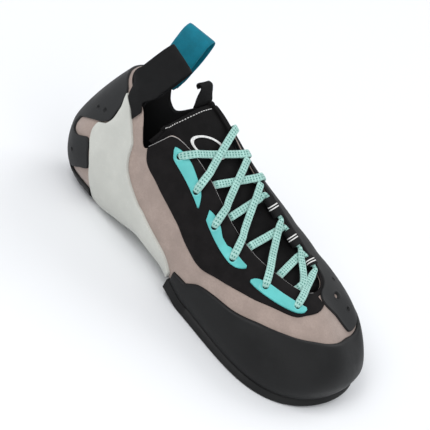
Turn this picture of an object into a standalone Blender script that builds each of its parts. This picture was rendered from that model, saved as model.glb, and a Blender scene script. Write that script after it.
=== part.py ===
"""A right climbing shoe, seen from its outer side, as separate solids in metres.

The shoe points along +X, its outer side faces -Y and +Z is up. One smooth shape gives every
piece: a ring of sections runs from the back of the heel, along the outer side to the toe and
back along the inner side. A place on it is a ring value from 0 to 1 and a level: 0 is the
widest line, 1 the top line of collar and throat, -1 the edge of the bottom and -2 its middle.
"""

import math

import bmesh
import bpy
import numpy as np
from mathutils import Vector

# Driving sizes of the last
LENGTH = 0.242
BALL_WIDTH = 0.091
INSTEP_HEIGHT = 0.098
HEEL_HEIGHT = 0.0905
RISE_HEIGHT = 0.090
ARCH_HEIGHT = 0.0100
HEEL_SPRING = 0.0030
TOE_SPRING = 0.0021

# Walls and thicknesses
UPPER_WALL = 0.0018
SOLE_THICKNESS = 0.0040
INSOLE_THICKNESS = 0.0022
RAND_THICKNESS = 0.0019
PATCH_THICKNESS = 0.0015
HEEL_SOLE_EDGE = 0.0014
FLAP_THICKNESS = 0.0010
PLATE_THICKNESS = 0.0011
TONGUE_THICKNESS = 0.0028
TONGUE_PUFF = 0.0012
GAP = 0.0003
LAY_GAP = 0.00045

# Lace, webbing and holes
LACE_WIDTH = 0.0048
LACE_THICKNESS = 0.0014
LACE_HOLE = 0.0042
LOOP_WALL = 0.0009
LOOP_CLEARANCE = 0.0004
PULL_THICKNESS = 0.0012
PULL_WIDTH = 0.0195
PULL_HEIGHT = 0.0360
TAB_WIDTH = 0.0110
TAB_HEIGHT = 0.0140
TAB_THICKNESS = 0.0012

# Levels that pieces share
MARGIN_LEVEL = -1.22
SOLE_EDGE_LEVEL = -0.62
RAND_LOW_LEVEL = -0.58
HEEL_SOLE_LEVEL = -0.50

# Ring values where the forefoot sole starts and where the two sides meet at toe and heel
SOLE_REAR = 0.2375
TOE_TIP = 0.5036
HEEL_TIP = 0.0007

# name, ring, then shares: x of LENGTH, y of BALL_WIDTH, rise of RISE_HEIGHT, tuck of BALL_WIDTH,
# top x of LENGTH, top y of BALL_WIDTH, top z as shares of HEEL_HEIGHT and of INSTEP_HEIGHT,
# then the turn of the wall in degrees and its fullness (1 is an ellipse, more is flatter)
SECTIONS = (
    ("heel back",        0.000, 0.012, 0.020, 0.38, 0.26, 0.098, 0.020, 1.00, 0.00, 50, 1.60),
    ("heel corner",      0.042, 0.054, -0.185, 0.36, 0.23, 0.116, -0.130, 0.99, 0.00, 50, 1.45),
    ("heel side",        0.085, 0.145, -0.255, 0.33, 0.19, 0.165, -0.225, 0.60, 0.33, 55, 1.20),
    ("ankle",            0.140, 0.270, -0.305, 0.30, 0.13, 0.255, -0.250, 0.20, 0.675, 60, 1.00),
    ("waist",            0.195, 0.395, -0.360, 0.27, 0.07, 0.345, -0.205, 0.00, 0.835, 68, 1.00),
    ("waist front",      0.244, 0.505, -0.395, 0.22, 0.06, 0.440, -0.190, 0.00, 0.740, 75, 1.00),
    ("ball rear",        0.296, 0.615, -0.453, 0.18, 0.06, 0.535, -0.200, 0.00, 0.615, 80, 1.05),
    ("ball",             0.345, 0.722, -0.515, 0.16, 0.06, 0.625, -0.178, 0.00, 0.533, 82, 1.10),
    ("little toe",       0.393, 0.830, -0.520, 0.15, 0.06, 0.695, -0.150, 0.00, 0.509, 85, 1.15),
    ("toe corner",       0.442, 0.923, -0.370, 0.15, 0.06, 0.750, -0.103, 0.00, 0.490, 88, 1.20),
    ("toe",              0.487, 0.972, -0.090, 0.15, 0.06, 0.780, -0.030, 0.00, 0.480, 90, 1.30),
    ("big toe",          0.524, 0.971, 0.165, 0.15, 0.06, 0.785, 0.050, 0.00, 0.480, 90, 1.50),
    ("big toe side",     0.564, 0.925, 0.335, 0.17, 0.06, 0.770, 0.130, 0.00, 0.495, 88, 1.20),
    ("inner toe joint",  0.613, 0.822, 0.435, 0.20, 0.06, 0.720, 0.175, 0.00, 0.520, 86, 0.95),
    ("inner ball",       0.669, 0.695, 0.462, 0.22, 0.06, 0.645, 0.190, 0.00, 0.580, 82, 0.84),
    ("inner ball rear",  0.735, 0.550, 0.430, 0.26, 0.07, 0.535, 0.180, 0.00, 0.700, 76, 0.80),
    ("inner waist",      0.800, 0.405, 0.325, 0.30, 0.09, 0.425, 0.165, 0.00, 0.835, 70, 0.80),
    ("inner ankle",      0.860, 0.270, 0.290, 0.31, 0.13, 0.300, 0.185, 0.20, 0.770, 64, 0.90),
    ("inner heel side",  0.915, 0.145, 0.265, 0.33, 0.19, 0.190, 0.190, 0.60, 0.361, 55, 1.20),
    ("inner heel corner", 0.958, 0.054, 0.195, 0.36, 0.23, 0.124, 0.140, 0.99, 0.006, 50, 1.45),
)

# ring on the outer side, ring straight across on the inner side
ACROSS = (
    (0.000, 1.000), (0.042, 0.958), (0.085, 0.915), (0.140, 0.860), (0.195, 0.803), (0.244, 0.757),
    (0.296, 0.705), (0.345, 0.657), (0.393, 0.609), (0.442, 0.560), (0.487, 0.520), (0.504, 0.504),
)

# x as a share of LENGTH, height of the sole's underside above the floor
UNDERSIDE = (
    (-0.02, 2.6 * HEEL_SPRING), (0.02, HEEL_SPRING), (0.075, 0.0), (0.20, 0.0),
    (0.27, 0.42 * ARCH_HEIGHT), (0.36, ARCH_HEIGHT), (0.44, 0.88 * ARCH_HEIGHT),
    (0.50, 0.35 * ARCH_HEIGHT), (0.56, 0.0), (0.88, 0.0), (0.95, 0.33 * TOE_SPRING),
    (1.00, TOE_SPRING), (1.10, 3.0 * TOE_SPRING),
)

# x as a share of LENGTH, middle of the bottom as a share of BALL_WIDTH
MIDDLE = (
    (0.00, 0.02), (0.20, 0.00), (0.40, -0.03), (0.60, -0.05), (0.80, -0.06), (0.90, -0.02),
    (1.00, 0.05),
)

# ring, level of the upper's own top edge: a notch on each side of the ankle
COLLAR = (
    (0.000, 1.00), (0.100, 1.00), (0.108, 0.97), (0.116, 0.88), (0.126, 0.70), (0.136, 0.575),
    (0.146, 0.66), (0.157, 0.84), (0.168, 0.97), (0.180, 1.00), (0.840, 1.00), (0.855, 0.96),
    (0.868, 0.84), (0.882, 0.68), (0.895, 0.60), (0.908, 0.69), (0.920, 0.87), (0.931, 0.975),
    (0.940, 1.00), (1.000, 1.00),
)

# ring, low level, high level of the black closure flap
FLAP_EDGE = (
    (0.1415, 0.595, 0.63), (0.148, 0.47, 0.71), (0.157, 0.40, 0.83), (0.168, 0.35, 0.955),
    (0.180, 0.30, 0.985), (0.195, 0.265, 0.985), (0.215, 0.23, 0.985), (0.232, 0.21, 0.985),
    (0.252, 0.22, 0.985), (0.268, 0.25, 0.985), (0.300, 0.38, 0.985), (0.345, 0.55, 0.985),
    (0.390, 0.65, 0.985), (0.425, 0.68, 0.985), (0.449, 0.73, 0.985), (0.480, 0.77, 0.985),
    (0.502, 0.795, 0.985),
)

# ring, top level of the rand round the forefoot
TOE_RAND_EDGE = (
    (0.240, -0.22), (0.255, -0.05), (0.275, 0.12), (0.300, 0.22), (0.330, 0.31), (0.378, 0.46),
    (0.418, 0.51), (0.447, 0.52), (0.474, 0.50), (0.491, 0.485), (0.511, 0.475), (0.530, 0.445),
    (0.560, 0.415), (0.600, 0.395), (0.633, 0.385), (0.669, 0.375), (0.700, 0.34), (0.725, 0.22),
    (0.745, 0.00), (0.760, -0.25),
)

# ring, low level, high level of the dark patch over the toes and the inner side
TOE_PATCH_EDGE = (
    (0.507, 0.785, 0.83), (0.511, 0.73, 0.86), (0.517, 0.66, 0.89), (0.521, 0.56, 0.905),
    (0.526, 0.49, 0.92), (0.535, 0.465, 0.94), (0.560, 0.44, 0.955), (0.600, 0.42, 0.955),
    (0.633, 0.41, 0.955), (0.669, 0.40, 0.955), (0.700, 0.41, 0.955), (0.735, 0.44, 0.955),
    (0.770, 0.47, 0.945), (0.800, 0.50, 0.935), (0.830, 0.54, 0.92), (0.850, 0.60, 0.90),
)

# level, rear ring, front ring of the pale slingshot rand on the outer side
HEEL_RAND_EDGE = (
    (0.930, 0.0735, 0.0775), (0.880, 0.0765, 0.0900), (0.770, 0.0810, 0.1030),
    (0.650, 0.0805, 0.1130), (0.530, 0.0785, 0.1220), (0.460, 0.0680, 0.1235),
    (0.390, 0.0640, 0.1250), (0.280, 0.0670, 0.1300), (0.190, 0.0730, 0.1380),
    (0.080, 0.0790, 0.1520), (-0.040, 0.0840, 0.1690), (-0.150, 0.0875, 0.1840),
    (-0.250, 0.0910, 0.2070), (-0.350, 0.0945, 0.2280), (-0.480, 0.0980, 0.2355),
    (-0.650, 0.1000, 0.2350), (-0.820, 0.1010, 0.2345), (-1.000, 0.1020, 0.2340),
)

# the same for the inner side's top rows, under its lower notch; the rest are as outside
HEEL_RAND_INNER = (
    (0.690, 0.0815, 0.0840), (0.660, 0.0810, 0.0870), (0.620, 0.0805, 0.0900),
    (0.570, 0.0795, 0.0925), (0.520, 0.0780, 0.0945), (0.460, 0.0690, 0.0970),
    (0.390, 0.0650, 0.1010), (0.280, 0.0680, 0.1090), (0.190, 0.0735, 0.1230),
)

# level at the back of the heel, level at the patch's edge, reach of the edge as a ring value
HEEL_PATCH_ROWS = (
    (-0.44, -0.44, 0.050), (-0.42, -0.36, 0.062), (-0.38, -0.22, 0.074), (-0.32, -0.10, 0.0835),
    (-0.25, 0.02, 0.0790), (-0.20, 0.10, 0.0750), (-0.15, 0.19, 0.0705), (-0.10, 0.245, 0.0640),
    (-0.06, 0.20, 0.0560), (0.00, 0.13, 0.0460), (0.06, 0.10, 0.0360), (0.14, 0.17, 0.0310),
    (0.24, 0.27, 0.0320), (0.33, 0.37, 0.0400), (0.42, 0.44, 0.0540), (0.50, 0.50, 0.0670),
    (0.60, 0.60, 0.0755), (0.72, 0.74, 0.0770), (0.82, 0.84, 0.0660), (0.87, 0.885, 0.0560),
    (0.92, 0.93, 0.0400),
    (0.965, 0.97, 0.0200),
)

# ring, low level, high level along each turquoise plate
EYELET_PLATES = (
    ((0.1770, 0.81, 0.85), (0.1810, 0.71, 0.865), (0.1900, 0.675, 0.875), (0.2040, 0.64, 0.86),
     (0.2180, 0.605, 0.80), (0.2270, 0.585, 0.755), (0.2330, 0.575, 0.70), (0.2350, 0.58, 0.62)),
    ((0.2510, 0.60, 0.71), (0.2570, 0.59, 0.735), (0.2660, 0.585, 0.755), (0.2760, 0.58, 0.75),
     (0.2860, 0.58, 0.70), (0.2940, 0.585, 0.70), (0.3030, 0.595, 0.735), (0.3150, 0.63, 0.755),
     (0.3260, 0.69, 0.765), (0.3335, 0.745, 0.775)),
    ((0.3440, 0.675, 0.70), (0.3500, 0.675, 0.745), (0.3600, 0.68, 0.785), (0.3800, 0.69, 0.815),
     (0.4020, 0.70, 0.815), (0.4250, 0.71, 0.81), (0.4400, 0.735, 0.80), (0.4470, 0.765, 0.79)),
)

# ring and level of each lace hole on the outer side, from the ankle to the toe
LACE_HOLES = ((0.188, 0.79), (0.224, 0.665), (0.267, 0.665), (0.309, 0.665), (0.369, 0.755),
              (0.427, 0.765))

# name, start ring, start crossing, end ring, end crossing, lift above the shape as a share of
# the lace's thickness at start, middle and end, then the bow towards the toe in metres; a crossing
# runs from -1 at the outer widest line through 0 and 1 at the throat's edges to 2 at the inner one
LACE_STRANDS = (
    ("first", 0.190, -0.180, 0.204, 1.060, 3.1, 1.0, 2.1, 0.0),
    ("second", 0.227, -0.290, 0.176, 1.040, 3.1, 1.7, 2.1, 0.0),
    ("third", 0.245, 0.110, 0.240, 1.060, 0.8, 1.0, 2.1, 0.0),
    ("fourth", 0.270, -0.290, 0.207, 0.930, 3.1, 1.7, 0.9, 0.0),
    ("fifth", 0.280, 0.120, 0.266, 0.850, 0.8, 1.0, 2.0, 0.0),
    ("sixth", 0.312, -0.290, 0.245, 0.930, 3.1, 1.7, 0.5, 0.0),
    ("seventh", 0.322, 0.150, 0.317, 0.850, 0.8, 1.0, 2.0, 0.0),
    ("eighth", 0.371, -0.200, 0.308, 0.850, 3.1, 1.7, 2.0, 0.0),
    ("ninth", 0.389, 0.170, 0.3700, 0.880, 0.8, 1.0, 2.0, 0.0),
    ("tenth", 0.425, 0.160, 0.363, 0.850, 0.8, 1.7, 2.0, 0.002),
    ("eleventh", 0.429, -0.200, 0.4130, 0.870, 3.1, 1.8, 2.0, 0.0),
)

# name, rear ring, front ring and crossing of each webbing loop on the inner throat edge
LACE_LOOPS = (("lace_loop_1", 0.2725, 0.3015, 0.83), ("lace_loop_2", 0.324, 0.3545, 0.84),
              ("lace_loop_3", 0.3820, 0.4025, 0.885))
LOOP_LIFT = 2.0


def closed_spline(knots, values):
    """Second derivatives of a cubic spline that closes on itself after one ring."""
    count = len(knots)
    spans = np.diff(np.append(knots, knots[0] + 1.0))
    matrix = np.zeros((count, count))
    right = np.zeros_like(values)
    for i in range(count):
        before, after = (i - 1) % count, (i + 1) % count
        matrix[i, before] += spans[before]
        matrix[i, i] += 2.0 * (spans[before] + spans[i])
        matrix[i, after] += spans[i]
        rise = (values[after] - values[i]) / spans[i]
        fall = (values[i] - values[before]) / spans[before]
        right[i] = 6.0 * (rise - fall)
    return np.linalg.solve(matrix, right)


SECTION_RINGS = np.array([row[1] for row in SECTIONS])
SECTION_UNITS = np.array([LENGTH, BALL_WIDTH, RISE_HEIGHT, BALL_WIDTH, LENGTH, BALL_WIDTH,
                          HEEL_HEIGHT, INSTEP_HEIGHT, math.pi / 180.0, 1.0])
SECTION_VALUES = np.array([row[2:] for row in SECTIONS]) * SECTION_UNITS
SECTION_BENDS = closed_spline(SECTION_RINGS, SECTION_VALUES)


def section(ring):
    """Columns of the section table at any ring value."""
    ring = np.mod(np.asarray(ring, dtype=float), 1.0)
    low = np.searchsorted(SECTION_RINGS, ring, side="right") - 1
    high = (low + 1) % len(SECTION_RINGS)
    span = np.mod(SECTION_RINGS[high] - SECTION_RINGS[low], 1.0)
    b = ((ring - SECTION_RINGS[low]) / span)[..., None]
    a = 1.0 - b
    bend = ((a ** 3 - a) * SECTION_BENDS[low] + (b ** 3 - b) * SECTION_BENDS[high])
    return a * SECTION_VALUES[low] + b * SECTION_VALUES[high] + bend * span[..., None] ** 2 / 6.0


def even_curve(table, at):
    """Smooth curve through a two-column table, level wherever the table is level."""
    xs = np.array([row[0] for row in table], dtype=float)
    ys = np.array([row[1] for row in table], dtype=float)
    steps = np.diff(xs)
    slopes = np.diff(ys) / steps
    tangents = np.concatenate([slopes[:1], np.zeros(len(xs) - 2), slopes[-1:]])
    for k in range(1, len(xs) - 1):
        if slopes[k - 1] * slopes[k] > 0.0:
            first = 2.0 * steps[k] + steps[k - 1]
            second = steps[k] + 2.0 * steps[k - 1]
            tangents[k] = (first + second) / (first / slopes[k - 1] + second / slopes[k])
    at = np.clip(at, xs[0], xs[-1])
    k = np.clip(np.searchsorted(xs, at, side="right") - 1, 0, len(xs) - 2)
    s = (at - xs[k]) / steps[k]
    rest = 1.0 - s
    start = (1.0 + 2.0 * s) * rest ** 2 * ys[k] + s * rest ** 2 * steps[k] * tangents[k]
    end = s * s * (3.0 - 2.0 * s) * ys[k + 1] - s * s * rest * steps[k] * tangents[k + 1]
    return start + end


def underside(x):
    """Height of the sole's underside above the floor."""
    return even_curve([(share * LENGTH, height) for share, height in UNDERSIDE], x)


def middle_of(x):
    """Y of the middle line of the bottom."""
    shares = [row[0] * LENGTH for row in MIDDLE]
    return np.interp(x, shares, [row[1] * BALL_WIDTH for row in MIDDLE])


def across(ring):
    """Ring value straight across on the inner side."""
    return np.interp(ring, [row[0] for row in ACROSS], [row[1] for row in ACROSS])


def place(ring, level):
    """Point of the shoe's base shape at a ring value and a level."""
    ring, level = np.broadcast_arrays(np.asarray(ring, float), np.asarray(level, float))
    x, y, rise, tuck, top_x, top_y, heel_z, instep_z, turn, full = np.moveaxis(section(ring), -1, 0)
    top_z = heel_z + instep_z
    rise = rise + underside(x)
    turn = np.clip(turn, 0.5, math.pi / 2)
    angle = np.minimum(np.clip(level, 0.0, 1.2) * turn, math.pi / 2)
    last = np.maximum(np.cos(turn), 0.0) ** full
    inward = (np.maximum(np.cos(angle), 0.0) ** full - last) / (1.0 - last)
    upward = np.sin(angle) ** full / np.sin(turn) ** full
    wall = np.stack([top_x + (x - top_x) * inward, top_y + (y - top_y) * inward,
                     rise + (top_z - rise) * upward], -1)

    middle_x = np.clip(x, 0.12 * LENGTH, 0.86 * LENGTH)
    middle_y = middle_of(middle_x)
    reach = np.hypot(middle_x - x, middle_y - y)
    in_x, in_y = (middle_x - x) / reach, (middle_y - y) / reach
    edge_x, edge_y = x + in_x * tuck, y + in_y * tuck
    edge_z = underside(edge_x) + SOLE_THICKNESS
    under = np.clip(-level, 0.0, 1.0) * math.pi / 2
    tucked = tuck * (1.0 - np.cos(under))
    turned = np.stack([x + in_x * tucked, y + in_y * tucked,
                       rise - (rise - edge_z) * np.sin(under)], -1)
    along = np.clip(-level - 1.0, 0.0, 1.0)
    bottom_x = edge_x + (middle_x - edge_x) * along
    bottom = np.stack([bottom_x, edge_y + (middle_y - edge_y) * along,
                       underside(bottom_x) + SOLE_THICKNESS], -1)
    side = np.where((level < 0.0)[..., None], turned, wall)
    return np.where((level < -1.0)[..., None], bottom, side)


def over(ring, crossing):
    """Point that runs over the foot: outer wall, throat and inner wall at one ring value.

    The throat, from 0 to 1, is a low crown between its two edges.
    """
    ring, crossing = np.broadcast_arrays(np.asarray(ring, float), np.asarray(crossing, float))
    inner_ring = across(ring)
    outer = place(ring, 1.0 + np.minimum(crossing, 0.0))
    inner = place(inner_ring, 2.0 - np.maximum(crossing, 1.0))
    start, end = place(ring, 1.0), place(inner_ring, 1.0)
    step = 0.02
    leave = start - place(ring, 1.0 - step)
    arrive = place(inner_ring, 1.0 - step) - end
    leave /= np.linalg.norm(leave, axis=-1, keepdims=True) + 1e-12
    arrive /= np.linalg.norm(arrive, axis=-1, keepdims=True) + 1e-12
    chord = np.linalg.norm(end - start, axis=-1, keepdims=True) * 0.42
    k = np.clip(crossing, 0.0, 1.0)[..., None]
    crown = ((1 + 2 * k) * (1 - k) ** 2 * start + k * (1 - k) ** 2 * chord * leave
             + k * k * (3 - 2 * k) * end - k * k * (1 - k) * chord * arrive)
    result = np.where((crossing < 0.0)[..., None], outer, crown)
    return np.where((crossing > 1.0)[..., None], inner, result)


def outward(function, first, second, turned=1.0):
    """Unit normals of a two-way surface function, pointing out of the shoe."""
    step_one, step_two = 2e-4, 1e-3
    one = function(first + step_one, second) - function(first - step_one, second)
    two = function(first, second + step_two) - function(first, second - step_two)
    normal = np.cross(one, two) * turned
    return normal / (np.linalg.norm(normal, axis=-1, keepdims=True) + 1e-12)


def on_shape(ring, level, lift):
    """Points lifted off the base shape along its normal."""
    ring, level = np.broadcast_arrays(np.asarray(ring, float), np.asarray(level, float))
    lift = np.broadcast_to(np.asarray(lift, float), ring.shape)
    return place(ring, level) + outward(place, ring, level) * lift[..., None]


def on_top(ring, crossing, lift):
    """Points lifted off the crossing surface along its normal."""
    ring, crossing = np.broadcast_arrays(np.asarray(ring, float), np.asarray(crossing, float))
    lift = np.broadcast_to(np.asarray(lift, float), ring.shape)
    return over(ring, crossing) + outward(over, ring, crossing) * lift[..., None]


def outer_lines():
    """Ring values of the upper's lines on the outer side, closer at heel, notch and toe."""
    heel = np.linspace(0.0, 0.1767, 20)
    waist = np.linspace(0.189, 0.267, 7)
    ball = np.linspace(0.284, 0.392, 7)
    toe = np.linspace(0.404, 0.500, 12)
    return np.concatenate([heel, waist, ball, toe])


def ring_lines():
    """Ring values of the upper's lines all round, from the heel back to it."""
    outer_side = outer_lines()
    return np.concatenate([outer_side, across(outer_side)[:0:-1]])


def lines_between(first, last):
    """The upper's lines on the outer side between two ring values, and those values."""
    lines = outer_lines()
    inside = lines[(lines > first + 0.003) & (lines < last - 0.003)]
    return np.concatenate([[first], inside, [last]])


def surface_material(name, colour, roughness):
    """Principled material with one colour and roughness."""
    material = bpy.data.materials.new(name)
    material.use_nodes = True
    shader = material.node_tree.nodes["Principled BSDF"]
    shader.inputs["Base Color"].default_value = (*colour, 1.0)
    shader.inputs["Roughness"].default_value = roughness
    shader.inputs["Metallic"].default_value = 0.0
    return material


def signed_volume(mesh):
    """Six times the volume that the faces of a bmesh enclose, negative if inside out."""
    total = 0.0
    for face in mesh.faces:
        origin = face.verts[0].co
        for a, b in zip(face.verts[1:-1], face.verts[2:]):
            total += origin.dot(a.co.cross(b.co))
    return total


def loft(name, sections, material, parent, closed=False):
    """Solid through closed sections, each an outer row and an inner row of equal length.

    The outer row runs one way and the inner row is given the same way; ends are closed unless
    the sections form a ring.
    """
    mesh = bmesh.new()
    loops = []
    for outer, inner in sections:
        points = [*outer, *inner[::-1]]
        loops.append([mesh.verts.new(Vector(point)) for point in points])
    count = len(loops[0])
    half = count // 2
    pairs = list(zip(loops, loops[1:]))
    if closed:
        pairs.append((loops[-1], loops[0]))
    for first, second in pairs:
        for k in range(count):
            after = (k + 1) % count
            mesh.faces.new((first[k], first[after], second[after], second[k]))
    if not closed:
        for loop, turned in ((loops[0], True), (loops[-1], False)):
            for k in range(half - 1):
                corners = (loop[k], loop[k + 1], loop[count - 2 - k], loop[count - 1 - k])
                mesh.faces.new(corners[::-1] if turned else corners)
    bmesh.ops.recalc_face_normals(mesh, faces=mesh.faces)
    if signed_volume(mesh) < 0.0:
        bmesh.ops.reverse_faces(mesh, faces=mesh.faces)
    return finish(name, mesh, material, parent)


def finish(name, mesh, material, parent):
    """Turn a bmesh into a smooth-shaded object under the given parent."""
    data = bpy.data.meshes.new(name)
    mesh.to_mesh(data)
    mesh.free()
    data.materials.append(material)
    data.shade_smooth()
    data.set_sharp_from_angle(angle=math.radians(40.0))
    item = bpy.data.objects.new(name, data)
    bpy.context.collection.objects.link(item)
    item.parent = parent
    return item


def on_lines(table, extra=()):
    """Rows of a table at the upper's own lines, at its two ends and at any extra rings."""
    first, last = table[0][0], table[-1][0]
    lines = ring_lines()
    lines = lines[(lines > first + 0.003) & (lines < last - 0.003)]
    lines = np.unique(np.concatenate([[first], lines, extra, [last]]))
    columns = [even_curve([(row[0], row[k]) for row in table], lines)
               for k in range(1, len(table[0]))]
    return list(zip(lines, *columns))


def skin(ring, levels, lift, thickness):
    """Outer and inner row of a piece that lies on the base shape at one ring value."""
    levels = np.asarray(levels, float)
    rings = np.full_like(levels, ring)
    top = np.full_like(levels, lift + thickness)
    top[0] -= 0.35 * thickness
    top[-1] -= 0.35 * thickness
    return on_shape(rings, levels, top), on_shape(rings, levels, lift)


def edge_levels(low, high, count, slope):
    """Levels from low to high with one row close to each end for a rounded edge."""
    inset = min(slope, 0.3 * (high - low))
    return np.concatenate([[low], np.linspace(low + inset, high - inset, count - 2), [high]])


def make_upper(materials, parent):
    """Hollow suede upper, open at the collar, the throat and underneath."""
    low = [MARGIN_LEVEL, -1.0, -0.76, -0.52, -0.26]
    high = np.array([0.0, 0.15, 0.31, 0.48, 0.65, 0.83, 1.0])
    sections = []
    for ring in ring_lines():
        levels = np.concatenate([low, high * even_curve(COLLAR, ring)])
        lines = np.full_like(levels, ring)
        sections.append((on_shape(lines, levels, 0.0), on_shape(lines, levels, -UPPER_WALL)))
    return loft("upper", sections, materials["suede"], parent, closed=True)


def sole_rows(ring):
    """Underside and top of the forefoot sole straight across at one ring value."""
    bottoms, tops = [], []
    for value, outwards in ((ring, 1), (float(across(ring)), -1)):
        widest = place(value, 0.0)
        side = outward(place, np.array(value), np.array(0.0))
        floor = underside(widest[0])
        shoulder = on_shape(value, SOLE_EDGE_LEVEL, GAP + RAND_THICKNESS)
        low = np.array([*(widest + side * 0.7 * RAND_THICKNESS)[:2], floor + 0.3 * SOLE_THICKNESS])
        corner = np.array([*(widest - side * 0.2 * RAND_THICKNESS)[:2], floor])
        tuck = place(value, -1.0)
        tuck_low = np.array([tuck[0], tuck[1], underside(tuck[0])])
        bottom = [shoulder, low, corner, tuck_low]
        top = [on_shape(value, level, GAP) for level in (SOLE_EDGE_LEVEL, -0.74, -0.86, -1.0)]
        bottoms.append(bottom[::outwards])
        tops.append(top[::outwards])
    outer, inner = bottoms[0] + bottoms[1], tops[0] + tops[1]
    middle_low = (outer[3] + outer[4]) / 2
    middle_top = (inner[3] + inner[4]) / 2
    outer.insert(4, np.array([middle_low[0], middle_low[1], underside(middle_low[0])]))
    inner.insert(4, np.array([middle_top[0], middle_top[1],
                              underside(middle_top[0]) + SOLE_THICKNESS - GAP]))
    return outer, inner


def make_outsole(materials, parent):
    """Forefoot sole: flat under the ball and toes, rising into the arch and at the toe."""
    rings = lines_between(SOLE_REAR, TOE_TIP)
    return loft("outsole", [sole_rows(ring) for ring in rings], materials["black rubber"], parent)


def heel_rows(ring):
    """Underside and top of the heel sole straight across at one ring value."""
    outers, inners = [], []
    levels = (HEEL_SOLE_LEVEL, -0.62, -0.80, -1.0)
    for value, outwards in ((ring, 1), (float(across(ring)), -1)):
        outer, inner = [], []
        for level in levels:
            share = (level - HEEL_SOLE_LEVEL) / (-1.0 - HEEL_SOLE_LEVEL)
            thickness = HEEL_SOLE_EDGE + (SOLE_THICKNESS - GAP - HEEL_SOLE_EDGE) * share
            outer.append(on_shape(value, level, GAP + thickness))
            inner.append(on_shape(value, level, GAP))
        outer[-1] = np.array([*place(value, -1.0)[:2], underside(place(value, -1.0)[0])])
        outers.append(outer[::outwards])
        inners.append(inner[::outwards])
    outer, inner = outers[0] + outers[1], inners[0] + inners[1]
    middle = (outer[3] + outer[4]) / 2
    outer.insert(4, np.array([middle[0], middle[1], underside(middle[0])]))
    inner.insert(4, np.array([middle[0], middle[1], underside(middle[0]) + SOLE_THICKNESS - GAP]))
    return outer, inner


def make_heel_sole(materials, parent):
    """Thin rubber cup under the heel."""
    rings = lines_between(HEEL_TIP, 0.0945)
    return loft("heel_sole", [heel_rows(ring) for ring in rings], materials["black rubber"], parent)


def make_insole(materials, parent):
    """Insole that lies inside on the upper's lasting margin."""
    sections = []
    for ring in lines_between(0.003, 0.502):
        first, second = place(ring, -1.0), place(float(across(ring)), -1.0)
        low, high = [], []
        for share in (0.0, 0.35, 0.65, 1.0):
            point = first + (second - first) * share
            base = underside(point[0]) + SOLE_THICKNESS + UPPER_WALL + 1.6 * GAP
            low.append(np.array([point[0], point[1], base]))
            high.append(np.array([point[0], point[1], base + INSOLE_THICKNESS]))
        sections.append((low, high))
    return loft("insole", sections, materials["lining"], parent)


def make_toe_rand(materials, parent):
    """Rand from the sole up round the forefoot and the toe."""
    sections = []
    shared = np.array([RAND_LOW_LEVEL, -0.52, -0.26, 0.0])
    shares = np.array([0.28, 0.55, 0.80, 0.93, 1.0])
    for ring, high in on_lines(TOE_RAND_EDGE):
        levels = np.concatenate([shared, high * shares])
        if high < 0.08:
            levels = edge_levels(RAND_LOW_LEVEL, high, len(levels), 0.03)
        sections.append(skin(ring, levels, LAY_GAP, RAND_THICKNESS))
    return loft("toe_rand", sections, materials["black rubber"], parent)


def make_toe_patch(materials, parent):
    """Dark patch over the big toe and along the inner side of the throat."""
    sections = []
    for ring, low, high in on_lines(TOE_PATCH_EDGE, (0.511, 0.5205)):
        levels = edge_levels(low, high, 7, 0.03)
        sections.append(skin(ring, levels, LAY_GAP, PATCH_THICKNESS))
    return loft("toe_patch", sections, materials["grey rubber"], parent)


def make_flap(materials, parent):
    """Black closure flap that carries the outer eyelet plates."""
    sections = []
    for ring, low, high in on_lines(FLAP_EDGE):
        levels = edge_levels(low, high, 8, 0.02)
        sections.append(skin(ring, levels, LAY_GAP, FLAP_THICKNESS))
    return loft("closure_flap", sections, materials["microfibre"], parent)


def make_heel_rand(materials, parent):
    """Pale slingshot rand: a wing on each side, joined under the arch."""
    shares = np.array([0.0, 0.06, 0.13, 0.22, 0.33, 0.46, 0.60, 0.75, 0.90, 1.0])
    fall = np.array([0.35, *[0.0] * 8, 0.35])
    sections = []
    for level, rear, front in HEEL_RAND_EDGE:
        rings = rear + (front - rear) * shares
        lift = LAY_GAP + RAND_THICKNESS * (1.0 - fall)
        sections.append((on_shape(rings, level, lift), on_shape(rings, level, LAY_GAP)))
    inner_side = []
    for level, rear, front in HEEL_RAND_INNER + HEEL_RAND_EDGE[9:]:
        rings = across(rear + (front - rear) * shares)
        lift = LAY_GAP + RAND_THICKNESS * (1.0 - fall)
        inner_side.append((on_shape(rings, level, lift), on_shape(rings, level, LAY_GAP)))
    bridge = []
    (low_a, top_a), (low_b, top_b) = sections[-1], inner_side[-1]
    for share in (0.25, 0.5, 0.75):
        rows = []
        for first, second, drop in ((low_a, low_b, RAND_THICKNESS), (top_a, top_b, 0.0)):
            row = first + (second - first) * share
            row[:, 2] = underside(row[:, 0]) + SOLE_THICKNESS - LAY_GAP - drop
            rows.append(row)
        bridge.append(tuple(rows))
    sections = sections + bridge + inner_side[::-1]
    return loft("heel_rand", sections, materials["pale rubber"], parent)


def make_heel_patch(materials, parent):
    """Dark patch round the back of the heel, with a window on each side."""
    half = np.array([0.0, 0.13, 0.27, 0.43, 0.62, 0.82, 1.0])
    shares = np.concatenate([-half[:0:-1], half])
    sections = []
    for back, edge, reach in HEEL_PATCH_ROWS:
        levels = back + (edge - back) * shares ** 2
        lift = np.where(np.abs(shares) > 0.95, 0.65, 1.0) * PATCH_THICKNESS
        sections.append((on_shape(shares * reach, levels, LAY_GAP + lift),
                         on_shape(shares * reach, levels, LAY_GAP)))
    return loft("heel_patch", sections, materials["grey rubber"], parent)


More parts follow.
